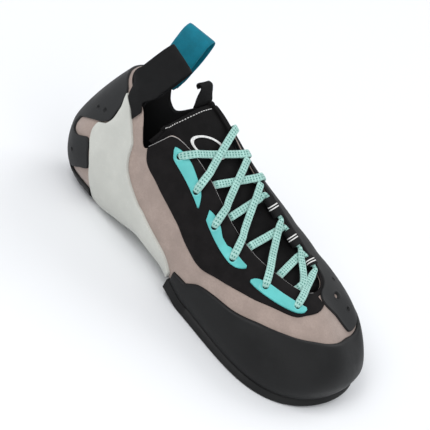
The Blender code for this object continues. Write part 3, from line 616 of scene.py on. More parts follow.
@dataclass
class Last:
    """The shoe's smooth shape.

    A place on it is a ring value, from the heel along the outer side to the toe and back along
    the inner side, and a level: 0 is the widest line, 1 the top line, -1 the bottom's edge and
    -2 the bottom's middle. All results are in the frame's own metres.
    """

    length: float = 0.242
    ball_width: float = 0.091
    instep_height: float = 0.098
    heel_height: float = 0.0905
    rise_height: float = 0.090
    arch_height: float = 0.0100
    heel_spring: float = 0.0030
    toe_spring: float = 0.0021
    sole_thickness: float = 0.0040
    origin: tuple[float, float, float] = (0.119802, -0.003168, 0.0)
    sections: Table = (
        (0.000, 0.012, 0.020, 0.38, 0.26, 0.098, 0.020, 1.00, 0.00, 50, 1.60),
        (0.042, 0.054, -0.185, 0.36, 0.23, 0.116, -0.130, 0.99, 0.00, 50, 1.45),
        (0.085, 0.145, -0.255, 0.33, 0.19, 0.165, -0.225, 0.60, 0.33, 55, 1.20),
        (0.140, 0.270, -0.305, 0.30, 0.13, 0.255, -0.250, 0.20, 0.675, 60, 1.00),
        (0.195, 0.395, -0.360, 0.27, 0.07, 0.345, -0.205, 0.00, 0.835, 68, 1.00),
        (0.244, 0.505, -0.395, 0.22, 0.06, 0.440, -0.190, 0.00, 0.740, 75, 1.00),
        (0.296, 0.615, -0.453, 0.18, 0.06, 0.535, -0.200, 0.00, 0.615, 80, 1.05),
        (0.345, 0.722, -0.515, 0.16, 0.06, 0.625, -0.178, 0.00, 0.533, 82, 1.10),
        (0.393, 0.830, -0.520, 0.15, 0.06, 0.695, -0.150, 0.00, 0.509, 85, 1.15),
        (0.442, 0.923, -0.370, 0.15, 0.06, 0.750, -0.103, 0.00, 0.490, 88, 1.20),
        (0.487, 0.972, -0.090, 0.15, 0.06, 0.780, -0.030, 0.00, 0.480, 90, 1.30),
        (0.524, 0.971, 0.165, 0.15, 0.06, 0.785, 0.050, 0.00, 0.480, 90, 1.50),
        (0.564, 0.925, 0.335, 0.17, 0.06, 0.770, 0.130, 0.00, 0.495, 88, 1.20),
        (0.613, 0.822, 0.435, 0.20, 0.06, 0.720, 0.175, 0.00, 0.520, 86, 0.95),
        (0.669, 0.695, 0.462, 0.22, 0.06, 0.645, 0.190, 0.00, 0.580, 82, 0.84),
        (0.735, 0.550, 0.430, 0.26, 0.07, 0.535, 0.180, 0.00, 0.700, 76, 0.80),
        (0.800, 0.405, 0.325, 0.30, 0.09, 0.425, 0.165, 0.00, 0.835, 70, 0.80),
        (0.860, 0.270, 0.290, 0.31, 0.13, 0.300, 0.185, 0.20, 0.770, 64, 0.90),
        (0.915, 0.145, 0.265, 0.33, 0.19, 0.190, 0.190, 0.60, 0.361, 55, 1.20),
        (0.958, 0.054, 0.195, 0.36, 0.23, 0.124, 0.140, 0.99, 0.006, 50, 1.45),
    )
    facing: Table = (
        (0.000, 1.000), (0.042, 0.958), (0.085, 0.915), (0.140, 0.860), (0.195, 0.803),
        (0.244, 0.757), (0.296, 0.705), (0.345, 0.657), (0.393, 0.609), (0.442, 0.560),
        (0.487, 0.520), (0.504, 0.504),
    )
    middle_line: Table = (
        (0.00, 0.02), (0.20, 0.00), (0.40, -0.03), (0.60, -0.05), (0.80, -0.06), (0.90, -0.02),
        (1.00, 0.05),
    )
    creases: tuple[Crease, ...] = (
        Crease((0.128, 0.52), (0.150, 0.20), 0.0007, 0.0040),
        Crease((0.118, 0.60), (0.134, 0.30), -0.0004, 0.0035),
        Crease((0.205, 0.12), (0.262, 0.05), 0.0006, 0.0060),
        Crease((0.330, 0.50), (0.350, 0.90), 0.0005, 0.0050),
        Crease((0.372, 0.55), (0.390, 0.92), -0.0004, 0.0050),
        Crease((0.655, 0.50), (0.640, 0.90), 0.0006, 0.0055),
        Crease((0.700, 0.45), (0.692, 0.85), 0.0005, 0.0050),
        Crease((0.780, 0.20), (0.830, 0.40), 0.0008, 0.0070),
        Crease((0.856, 0.20), (0.868, 0.55), 0.0006, 0.0045),
        Crease((0.960, 0.70), (0.930, 0.45), 0.0005, 0.0045),
    )

    def __post_init__(self) -> None:
        """Work out the closed spline through the sections."""
        units = np.array([self.length, self.ball_width, self.rise_height, self.ball_width,
                          self.length, self.ball_width, self.heel_height, self.instep_height,
                          math.pi / 180.0, 1.0])
        self.knots = np.array(column(self.sections, 0))
        self.values = np.array([row[1:] for row in self.sections]) * units
        self.bends = self._bends()
        share = np.array([(-0.02, 2.6 * self.heel_spring), (0.02, self.heel_spring),
                          (0.075, 0.0), (0.20, 0.0), (0.27, 0.42 * self.arch_height),
                          (0.36, self.arch_height), (0.44, 0.88 * self.arch_height),
                          (0.50, 0.35 * self.arch_height), (0.56, 0.0), (0.88, 0.0),
                          (0.95, 0.33 * self.toe_spring), (1.00, self.toe_spring),
                          (1.10, 3.0 * self.toe_spring)])
        self.floor_x, self.floor_z = share[:, 0] * self.length, share[:, 1]

    def _bends(self) -> Array:
        """Second derivatives of the spline that closes on itself."""
        count = len(self.knots)
        spans = np.diff(np.append(self.knots, self.knots[0] + 1.0))
        matrix, right = np.zeros((count, count)), np.zeros_like(self.values)
        for i in range(count):
            before, after = (i - 1) % count, (i + 1) % count
            matrix[i, before] += spans[before]
            matrix[i, i] += 2.0 * (spans[before] + spans[i])
            matrix[i, after] += spans[i]
            right[i] = 6.0 * ((self.values[after] - self.values[i]) / spans[i]
                              - (self.values[i] - self.values[before]) / spans[before])
        return np.linalg.solve(matrix, right)

    def section(self, ring: Any) -> Array:
        """Columns of the section table at any ring value.

        Args:
            ring: ring values.

        Returns:
            One row of columns a value.
        """
        ring = np.mod(np.asarray(ring, float), 1.0)
        low = np.searchsorted(self.knots, ring, side="right") - 1
        high = (low + 1) % len(self.knots)
        span = np.mod(self.knots[high] - self.knots[low], 1.0)
        b = ((ring - self.knots[low]) / span)[..., None]
        a = 1.0 - b
        bend = (a ** 3 - a) * self.bends[low] + (b ** 3 - b) * self.bends[high]
        return a * self.values[low] + b * self.values[high] + bend * span[..., None] ** 2 / 6.0

    def underside(self, x: Any) -> Array:
        """Height of the sole's underside, x being measured from the heel."""
        return even_curve(self.floor_x, self.floor_z, x)

    def floor(self, x: Any) -> Array:
        """Height of the sole's underside at the frame's own x."""
        return self.underside(x + self.origin[0])

    def across(self, ring: Any) -> Array:
        """Ring value straight across on the inner side."""
        return np.interp(ring, column(self.facing, 0), column(self.facing, 1))

    def place(self, ring: Any, level: Any) -> Array:
        """Points of the plain shape.

        Args:
            ring: ring values.
            level: levels.

        Returns:
            Points in the frame.
        """
        ring, level = np.broadcast_arrays(np.asarray(ring, float), np.asarray(level, float))
        x, y, rise, tuck, top_x, top_y, heel_z, instep_z, turn, full = np.moveaxis(
            self.section(ring), -1, 0)
        top_z = heel_z + instep_z
        rise = rise + self.underside(x)
        turn = np.clip(turn, 0.5, math.pi / 2)
        angle = np.minimum(np.clip(level, 0.0, 1.2) * turn, math.pi / 2)
        last = np.maximum(np.cos(turn), 0.0) ** full
        inward = (np.maximum(np.cos(angle), 0.0) ** full - last) / (1.0 - last)
        upward = np.sin(angle) ** full / np.sin(turn) ** full
        wall = np.stack([top_x + (x - top_x) * inward, top_y + (y - top_y) * inward,
                         rise + (top_z - rise) * upward], -1)
        middle_x = np.clip(x, 0.12 * self.length, 0.86 * self.length)
        middle_y = np.interp(middle_x, np.array(column(self.middle_line, 0)) * self.length,
                             np.array(column(self.middle_line, 1)) * self.ball_width)
        reach = np.hypot(middle_x - x, middle_y - y)
        in_x, in_y = (middle_x - x) / reach, (middle_y - y) / reach
        edge_x, edge_y = x + in_x * tuck, y + in_y * tuck
        edge_z = self.underside(edge_x) + self.sole_thickness
        under = np.clip(-level, 0.0, 1.0) * math.pi / 2
        tucked = tuck * (1.0 - np.cos(under))
        turned = np.stack([x + in_x * tucked, y + in_y * tucked,
                           rise - (rise - edge_z) * np.sin(under)], -1)
        along = np.clip(-level - 1.0, 0.0, 1.0)
        bottom_x = edge_x + (middle_x - edge_x) * along
        bottom = np.stack([bottom_x, edge_y + (middle_y - edge_y) * along,
                           self.underside(bottom_x) + self.sole_thickness], -1)
        side = np.where((level < 0.0)[..., None], turned, wall)
        return np.where((level < -1.0)[..., None], bottom, side) - np.array(self.origin)

    def over(self, ring: Any, crossing: Any) -> Array:
        """Points that run over the foot at one ring value.

        Args:
            ring: ring values.
            crossing: -1 at the outer widest line, 0 and 1 at the throat's edges, 2 at the
                inner widest line.

        Returns:
            Points in the frame.
        """
        ring, crossing = np.broadcast_arrays(np.asarray(ring, float),
                                             np.asarray(crossing, float))
        inner_ring = self.across(ring)
        outer = self.place(ring, 1.0 + np.minimum(crossing, 0.0))
        inner = self.place(inner_ring, 2.0 - np.maximum(crossing, 1.0))
        start, end = self.place(ring, 1.0), self.place(inner_ring, 1.0)
        leave = unit(start - self.place(ring, 0.98))
        arrive = unit(self.place(inner_ring, 0.98) - end)
        chord = np.linalg.norm(end - start, axis=-1, keepdims=True) * 0.42
        k = np.clip(crossing, 0.0, 1.0)[..., None]
        crown = ((1 + 2 * k) * (1 - k) ** 2 * start + k * (1 - k) ** 2 * chord * leave
                 + k * k * (3 - 2 * k) * end - k * k * (1 - k) * chord * arrive)
        result = np.where((crossing < 0.0)[..., None], outer, crown)
        return np.where((crossing > 1.0)[..., None], inner, result)

    @staticmethod
    def outward(function: Callable[[Any, Any], Array], first: Any, second: Any) -> Array:
        """Unit normals of a two-way surface, pointing out of the shoe.

        Args:
            function: place or over.
            first: ring values.
            second: levels or crossings.

        Returns:
            Normals.
        """
        one = function(first + 2e-4, second) - function(first - 2e-4, second)
        two = function(first, second + 1e-3) - function(first, second - 1e-3)
        return unit(np.cross(one, two))

    def lifted(self, function: Callable[[Any, Any], Array], first: Any, second: Any,
               lift: Any) -> Array:
        """Points lifted off the shape along its normal, creases included.

        Args:
            function: place or over.
            first: ring values.
            second: levels or crossings.
            lift: height above the shape.

        Returns:
            Points in the frame.
        """
        first, second = np.broadcast_arrays(np.asarray(first, float), np.asarray(second, float))
        lift = np.broadcast_to(np.asarray(lift, float), first.shape)
        points = function(first, second)
        relief = sum(crease.lift(self, points) for crease in self.creases)
        return points + self.outward(function, first, second) * (lift + relief)[..., None]

    def on_side(self, ring: Any, level: Any, lift: Any) -> Array:
        """Lifted points by ring value and level."""
        return self.lifted(self.place, ring, level, lift)

    def on_top(self, ring: Any, crossing: Any, lift: Any) -> Array:
        """Lifted points by ring value and crossing."""
        return self.lifted(self.over, ring, crossing, lift)


LAST = Last()


# ---------------------------------------------------------------- the bench

class Bench:
    """Makes a piece from a flat grid, as a maker cuts and lays a pattern piece."""

    @staticmethod
    def alone(item: bpy.types.Object) -> None:
        """Make one object the only selected one."""
        bpy.ops.object.select_all(action="DESELECT")
        item.select_set(True)
        bpy.context.view_layer.objects.active = item

    @classmethod
    def lay(cls, name: str, columns: int, rows: int,
            shape: Callable[[Array, Array], tuple[Array, Array]],
            solid: bool = False) -> bpy.types.Object:
        """Cut a flat grid and lay it in its place.

        Args:
            name: the piece's name.
            columns: cells one way.
            rows: cells the other way.
            shape: gives points and lay coordinates for two arrays from 0 to 1.
            solid: True closes the piece: seams are merged and open ends filled.

        Returns:
            The piece, with its faces outwards.
        """
        bpy.ops.object.select_all(action="DESELECT")
        bpy.ops.mesh.primitive_grid_add(x_subdivisions=columns, y_subdivisions=rows, size=1.0)
        item = bpy.context.object
        item.name = name
        item.data.name = name
        mesh = item.data
        flat = np.empty(len(mesh.vertices) * 3)
        mesh.vertices.foreach_get("co", flat)
        flat = flat.reshape(-1, 3)
        points, lay = shape(np.clip(flat[:, 0] + 0.5, 0.0, 1.0),
                            np.clip(flat[:, 1] + 0.5, 0.0, 1.0))
        mesh.vertices.foreach_set("co", np.ascontiguousarray(points, float).ravel())
        owners = np.empty(len(mesh.loops), int)
        mesh.loops.foreach_get("vertex_index", owners)
        layer = mesh.uv_layers.active or mesh.uv_layers.new()
        layer.name = UV_NAME
        layer.data.foreach_set("uv", np.ascontiguousarray(lay[owners], float).ravel())
        mesh.update()
        bpy.ops.object.mode_set(mode="EDIT")
        bpy.ops.mesh.select_mode(type="VERT")
        bpy.ops.mesh.select_all(action="SELECT")
        bpy.ops.mesh.remove_doubles(threshold=2e-6)
        if solid:
            bpy.ops.mesh.select_all(action="DESELECT")
            bpy.ops.mesh.select_non_manifold()
            bpy.ops.mesh.fill_holes(sides=0)
            bpy.ops.mesh.select_all(action="SELECT")
            bpy.ops.mesh.normals_make_consistent(inside=False)
        bpy.ops.object.mode_set(mode="OBJECT")
        if not solid and cls.faces_in(mesh):
            cls.turn(item)
        return item

    @staticmethod
    def faces_in(mesh: bpy.types.Mesh) -> bool:
        """Whether an open sheet's faces point into the shoe."""
        centres = np.empty(len(mesh.polygons) * 3)
        normals = np.empty(len(mesh.polygons) * 3)
        mesh.polygons.foreach_get("center", centres)
        mesh.polygons.foreach_get("normal", normals)
        centres, normals = centres.reshape(-1, 3), normals.reshape(-1, 3)
        axis = np.stack([np.clip(centres[:, 0], -0.085, 0.085), np.full(len(centres), 0.004),
                         np.full(len(centres), 0.022)], 1)
        return float(((centres - axis) * normals).sum()) < 0.0

    @classmethod
    def turn(cls, item: bpy.types.Object) -> None:
        """Turn every face of a piece round."""
        cls.alone(item)
        bpy.ops.object.mode_set(mode="EDIT")
        bpy.ops.mesh.select_all(action="SELECT")
        bpy.ops.mesh.flip_normals()
        bpy.ops.object.mode_set(mode="OBJECT")

    @classmethod
    def modify(cls, item: bpy.types.Object, kind: str, **settings: Any) -> None:
        """Add a modifier and apply it.

        Args:
            item: the piece.
            kind: Blender's name of the modifier's type.
            **settings: attributes of the modifier.
        """
        cls.alone(item)
        step = item.modifiers.new(kind.lower(), kind)
        for key, value in settings.items():
            setattr(step, key, value)
        bpy.ops.object.modifier_apply(modifier=step.name)

    @classmethod
    def thicken(cls, item: bpy.types.Object, thickness: float, **settings: Any) -> None:
        """Give an open sheet its thickness, from its outer face inwards.

        Args:
            item: the sheet.
            thickness: how thick it gets.
            **settings: further attributes of the modifier.
        """
        cls.modify(item, "SOLIDIFY", thickness=thickness, offset=-1.0, **settings)

    @classmethod
    def punch(cls, item: bpy.types.Object, middle: Array, radius: float) -> None:
        """Cut a round hole in an open sheet.

        Args:
            item: the sheet.
            middle: centre of the hole, on the sheet.
            radius: the hole's radius.
        """
        cls.alone(item)
        centre = Vector(middle)
        bpy.ops.object.mode_set(mode="EDIT")
        bpy.ops.mesh.select_mode(type="FACE")
        bpy.ops.mesh.select_all(action="DESELECT")
        bpy.ops.object.mode_set(mode="OBJECT")
        for face in item.data.polygons:
            face.select = (face.center - centre).length < radius
        bpy.ops.object.mode_set(mode="EDIT")
        bpy.ops.mesh.delete(type="FACE")
        bpy.ops.mesh.select_mode(type="VERT")
        bpy.ops.mesh.select_all(action="DESELECT")
        bpy.ops.mesh.select_non_manifold()
        bpy.ops.object.mode_set(mode="OBJECT")
        for vertex in item.data.vertices:
            way = vertex.co - centre
            if vertex.select and way.length < 1.6 * radius:
                vertex.co = centre + way * (radius / way.length)
        item.data.update()

    @classmethod
    def join(cls, name: str, parts: Sequence[bpy.types.Object]) -> bpy.types.Object:
        """Join parts into one piece.

        Args:
            name: the piece's name.
            parts: what is joined.

        Returns:
            The piece.
        """
        cls.alone(parts[0])
        for part in parts:
            part.select_set(True)
        bpy.ops.object.join()
        parts[0].name = name
        parts[0].data.name = name
        return parts[0]

    @classmethod
    def dress(cls, item: bpy.types.Object, cloth: Cloth, slot: Optional[str] = None,
              nodes: Iterable[str] = (), angle: float = 48.0,
              inside: Optional[Cloth] = None) -> bpy.types.Object:
        """Give a piece its finish and hand it to the frame.

        Args:
            item: the piece.
            cloth: its finish.
            slot: the record's slot of that finish; not used.
            nodes: CAD nodes that the piece stands for.
            angle: edges sharper than this in degrees stay sharp.
            inside: finish of the lining, for a shell that has both finishes already.

        Returns:
            The piece.
        """
        if inside is None:
            item.data.materials.clear()
            item.data.materials.append(cloth.material())
        cls.alone(item)
        bpy.ops.object.shade_smooth_by_angle(angle=math.radians(angle))
        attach(item, BODY)
        if nodes:
            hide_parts(*nodes)
        LOG.info("%s: %d faces", item.name, len(item.data.polygons))
        return item


def spaced(share: Array) -> Array:
    """Shares moved closer together near 0 and 1."""
    return 0.5 - 0.5 * np.cos(np.pi * share)


def tape(name: str, path: Array, faces: Array, width: Any, thickness: float,
         rows: int = 20, flat: float = 0.55) -> bpy.types.Object:
    """Flat strap with rounded edges along a path.

    Args:
        name: the piece's name.
        path: points along the strap.
        faces: directions that its upper face looks at each point.
        width: width, one number or one a point.
        thickness: thickness.
        rows: cells round the strap.
        flat: how square the strap's cut is, from 0 to 1.

    Returns:
        The strap.
    """
    along = unit(np.gradient(path, axis=0))
    sides = unit(np.cross(faces, along))
    faces = np.cross(along, sides)
    width = np.broadcast_to(np.asarray(width, float), len(path))
    reach = reach_along(path)

    def shape(u: Array, v: Array) -> tuple[Array, Array]:
        """Points and lay of the strap."""
        k = picked(u, len(path))
        angle = 2.0 * np.pi * v
        wide = swollen(np.cos(angle), 1.0 - flat) * width[k] / 2
        tall = swollen(np.sin(angle), 0.8) * thickness / 2
        points = path[k] + sides[k] * wide[:, None] + faces[k] * tall[:, None]
        return points, np.stack([reach[k], wide + width.max() / 2], 1)

    return Bench.lay(name, len(path) - 1, rows, shape, solid=True)


# ---------------------------------------------------------------- pieces on the last

@dataclass(frozen=True)
class Dimple:
    """Round pit pressed into a rubber patch."""

    ring: float
    level: float
    radius: float
    depth: float = 0.0014


def pitted(dimples: Iterable[Dimple], points: Array) -> Array:
    """Height that pits and the faint rims round them add at points."""
    height = np.zeros(len(points))
    for pit in dimples:
        gap = np.linalg.norm(points - LAST.place(pit.ring, pit.level), axis=-1)
        height -= pit.depth * np.clip((pit.radius - gap) / (0.30 * pit.radius), 0.0, 1.0)
        height += 0.00018 * np.exp(-((gap - 1.25 * pit.radius) / (0.3 * pit.radius)) ** 2)
    return height


@dataclass
class Overlay:
    """Sheet that lies on the last between two edges.

    Rows of the table are ring value, low level and high level.
    """

    name: str
    cloth: Cloth
    slot: str
    nodes: tuple[str, ...]
    table: Table
    thickness: float
    lift: float = BEDDING
    radius: float = 0.0010
    columns: int = 260
    rows: int = 44
    dimples: tuple[Dimple, ...] = ()

    def edges(self, ring: Array) -> tuple[Array, Array]:
        """Low and high level at ring values."""
        rings = column(self.table, 0)
        return (even_curve(rings, column(self.table, 1), ring),
                even_curve(rings, column(self.table, 2), ring))

    def relief(self, points: Array) -> Array:
        """Height that the sheet's relief adds at points."""
        return pitted(self.dimples, points)

    def shape(self, u: Array, v: Array) -> tuple[Array, Array]:
        """Points and lay of the sheet's upper face.

        Args:
            u: share along the ring.
            v: share up the sheet.

        Returns:
            Points and lay coordinates.
        """
        u, v = spaced(u), spaced(v)
        first, last = self.table[0][0], self.table[-1][0]
        ring = first + (last - first) * u
        low, high = self.edges(ring)
        level = low + (high - low) * v
        tall = np.linalg.norm(LAST.place(ring, high) - LAST.place(ring, low), axis=-1)
        ends = np.minimum(u, 1.0 - u) * (last - first) * RING_LENGTH
        distance = np.minimum(np.minimum(v, 1.0 - v) * tall, ends)
        lift = self.lift + self.thickness - round_over(distance, self.radius, self.thickness)
        lift = lift + self.relief(LAST.place(ring, level))
        return LAST.on_side(ring, level, lift), np.stack([ring * RING_LENGTH, v * tall], 1)

    def build(self) -> bpy.types.Object:
        """Lay, thicken and dress the sheet."""
        item = Bench.lay(self.name, self.columns, self.rows, self.shape)
        self.cut(item)
        Bench.thicken(item, self.thickness)
        return Bench.dress(item, self.cloth, self.slot, self.nodes)

    def cut(self, item: bpy.types.Object) -> None:
        """Cut what the sheet needs cut; a plain sheet needs nothing."""


@dataclass
class EyeletPlate(Overlay):
    """Turquoise plate with two lace holes and a raised rim round each."""

    holes: tuple[tuple[float, float], ...] = ()
    hole_radius: float = 0.0019

    def relief(self, points: Array) -> Array:
        """Rims round the holes."""
        height = np.zeros(len(points))
        for ring, level in self.holes:
            gap = np.linalg.norm(points - LAST.place(ring, level), axis=-1)
            height += 0.00028 * np.exp(-((gap - 1.45 * self.hole_radius) / 0.0006) ** 2)
        return height

    def cut(self, item: bpy.types.Object) -> None:
        """Punch the lace holes."""
        for ring, level in self.holes:
            middle = LAST.on_side(ring, level, self.lift + self.thickness)
            Bench.punch(item, middle, self.hole_radius)


@dataclass
class Upper:
    """Hollow suede shell with its dark lining and the insole inside."""

    wall: float = 0.0018
    margin: float = -1.22
    columns: int = 380
    rows: int = 84
    collar: Table = (
        (0.000, 1.00), (0.100, 1.00), (0.108, 0.97), (0.116, 0.88), (0.126, 0.70),
        (0.136, 0.575), (0.146, 0.66), (0.157, 0.84), (0.168, 0.97), (0.180, 1.00),
        (0.840, 1.00), (0.855, 0.96), (0.868, 0.84), (0.882, 0.68), (0.895, 0.60),
        (0.908, 0.69), (0.920, 0.87), (0.931, 0.975), (0.940, 1.00), (1.000, 1.00),
    )
    wall_height: float = 0.06
    tuck_share: float = 0.30
    insole_thickness: float = 0.0022
    board_ends: tuple[float, float] = (0.003, 0.502)

    def shell(self, u: Array, v: Array) -> tuple[Array, Array]:
        """Outer face of the shell."""
        ring = u
        high = even_curve(*np.array(self.collar).T, ring)
        under = self.margin * (1.0 - np.clip(v / self.tuck_share, 0.0, 1.0))
        rise = np.clip((v - self.tuck_share) / (1.0 - self.tuck_share), 0.0, 1.0)
        level = np.where(v < self.tuck_share, under, high * rise)
        soft = round_over((1.0 - v) * 0.05, 0.0007, 0.0006)
        lay = np.stack([ring * RING_LENGTH, level * self.wall_height], 1)
        return LAST.on_side(ring, level, -soft), lay

    def sole_board(self, u: Array, v: Array) -> tuple[Array, Array]:
        """Closed cut of the insole at each ring value."""
        rear, front = self.board_ends
        ring = rear + (front - rear) * u
        first, second = LAST.place(ring, -1.0), LAST.place(LAST.across(ring), -1.0)
        lap = np.mod(v, 1.0) * 2.0
        share = np.where(lap < 1.0, lap, 2.0 - lap)
        upper_face = lap < 1.0
        point = first + (second - first) * (0.02 + 0.96 * share)[:, None]
        base = (LAST.floor(point[:, 0]) + LAST.sole_thickness
                + self.wall + 0.00048)
        point[:, 2] = base + np.where(upper_face, self.insole_thickness, 0.0)
        return point, np.stack([ring * 0.5, share * 0.08], 1)

    def build(self) -> None:
        """Build the shell and the insole."""
        shell = Bench.lay("upper_suede", self.columns, self.rows, self.shell)
        for cloth in (Cloth.SUEDE, Cloth.LINING):
            shell.data.materials.append(cloth.material())
        Bench.thicken(shell, self.wall, material_offset=1, material_offset_rim=1)
        Bench.dress(shell, Cloth.SUEDE, "suede", ("upper",), 60.0, Cloth.LINING)
        board = Bench.lay("insole_board", 150, 44, self.sole_board, solid=True)
        Bench.dress(board, Cloth.LINING, "lining", ("insole",), 40.0)


@dataclass
class Soles:
    """Forefoot outsole and the thin heel cup."""

    rand: float = 0.0019
    gap: float = 0.0003
    edge_level: float = -0.62
    heel_level: float = -0.50
    heel_edge: float = 0.0014
    rear: float = 0.2375
    toe_tip: float = 0.5036
    heel_tip: float = 0.0007
    heel_front: float = 0.0945

    def ball_row(self, ring: float) -> Array:
        """Closed cut of the forefoot sole at one ring value, underside first."""
        bottoms, tops = [], []
        for value, way in ((ring, 1), (float(LAST.across(ring)), -1)):
            widest = LAST.place(value, 0.0)
            side = LAST.outward(LAST.place, np.array(value), np.array(0.0))
            floor = float(LAST.floor(widest[0]))
            shoulder = LAST.on_side(value, self.edge_level, self.gap + self.rand)
            low = np.array([*(widest + side * 0.7 * self.rand)[:2],
                            floor + 0.3 * LAST.sole_thickness])
            round_low = np.array([*(widest + side * 0.45 * self.rand)[:2],
                                  floor + 0.1 * LAST.sole_thickness])
            corner = np.array([*(widest - side * 0.2 * self.rand)[:2], floor])
            tuck = LAST.place(value, -1.0)
            tuck[2] = LAST.floor(tuck[0])
            bottoms.append([shoulder, low, round_low, corner, tuck][::way])
            levels = (self.edge_level, -0.70, -0.78, -0.88, -1.0)
            tops.append([LAST.on_side(value, level, self.gap) for level in levels][::way])
        return self.closed(bottoms, tops)

    def closed(self, bottoms: list[list[Array]], tops: list[list[Array]]) -> Array:
        """Join both sides' rows by the middle into one closed row.

        Args:
            bottoms: underside rows of the outer and the inner side.
            tops: upper rows of the two sides.

        Returns:
            Points round the cut.
        """
        outer, inner = bottoms[0] + bottoms[1], tops[0] + tops[1]
        half = len(bottoms[0])
        for row, height in ((outer, 0.0), (inner, LAST.sole_thickness - self.gap)):
            extra = []
            for share in (0.25, 0.5, 0.75):
                middle = row[half - 1] * (1.0 - share) + row[half] * share
                middle = middle.copy()
                middle[2] = LAST.floor(middle[0]) + height
                extra.append(middle)
            row[half:half] = extra
        return np.array([*outer, *inner[::-1], outer[0]])

    def heel_row(self, ring: float) -> Array:
        """Closed cut of the heel cup at one ring value, underside first."""
        outers, inners = [], []
        for value, way in ((ring, 1), (float(LAST.across(ring)), -1)):
            outer, inner = [], []
            for level in (self.heel_level, -0.56, -0.68, -0.84, -1.0):
                share = (level - self.heel_level) / (-1.0 - self.heel_level)
                full = LAST.sole_thickness - self.gap
                thick = self.heel_edge + (full - self.heel_edge) * share
                outer.append(LAST.on_side(value, level, self.gap + thick))
                inner.append(LAST.on_side(value, level, self.gap))
            outer[-1] = LAST.place(value, -1.0)
            outer[-1][2] = LAST.floor(outer[-1][0])
            outers.append(outer[::way])
            inners.append(inner[::way])
        return self.closed(outers, inners)

    def solid(self, name: str, row: Callable[[float], Array], first: float, last: float,
              count: int) -> bpy.types.Object:
        """Loft closed cuts between two ring values.

        Args:
            name: the piece's name.
            row: gives the closed cut at a ring value.
            first: first ring value.
            last: last ring value.
            count: cuts.

        Returns:
            The solid.
        """
        rings = first + (last - first) * spaced(np.linspace(0.0, 1.0, count))
        cuts = np.array([row(float(ring)) for ring in rings])

        def shape(u: Array, v: Array) -> tuple[Array, Array]:
            """Points and lay of the solid."""
            points = cuts[picked(u, count), picked(v, cuts.shape[1])]
            return points, points[:, :2]

        item = Bench.lay(name, count - 1, cuts.shape[1] - 1, shape, solid=True)
        Bench.modify(item, "BEVEL", width=0.0005, segments=3, limit_method="ANGLE",
                     angle_limit=math.radians(38.0))
        return item

    def build(self) -> None:
        """Build both soles."""
        ball = self.solid("forefoot_sole", self.ball_row, self.rear, self.toe_tip, 170)
        Bench.dress(ball, Cloth.BLACK_RUBBER, "black_rubber", ("outsole",), 35.0)
        heel = self.solid("heel_cup", self.heel_row, self.heel_tip, self.heel_front, 90)
        Bench.dress(heel, Cloth.BLACK_RUBBER, "black_rubber", ("heel_sole",), 35.0)


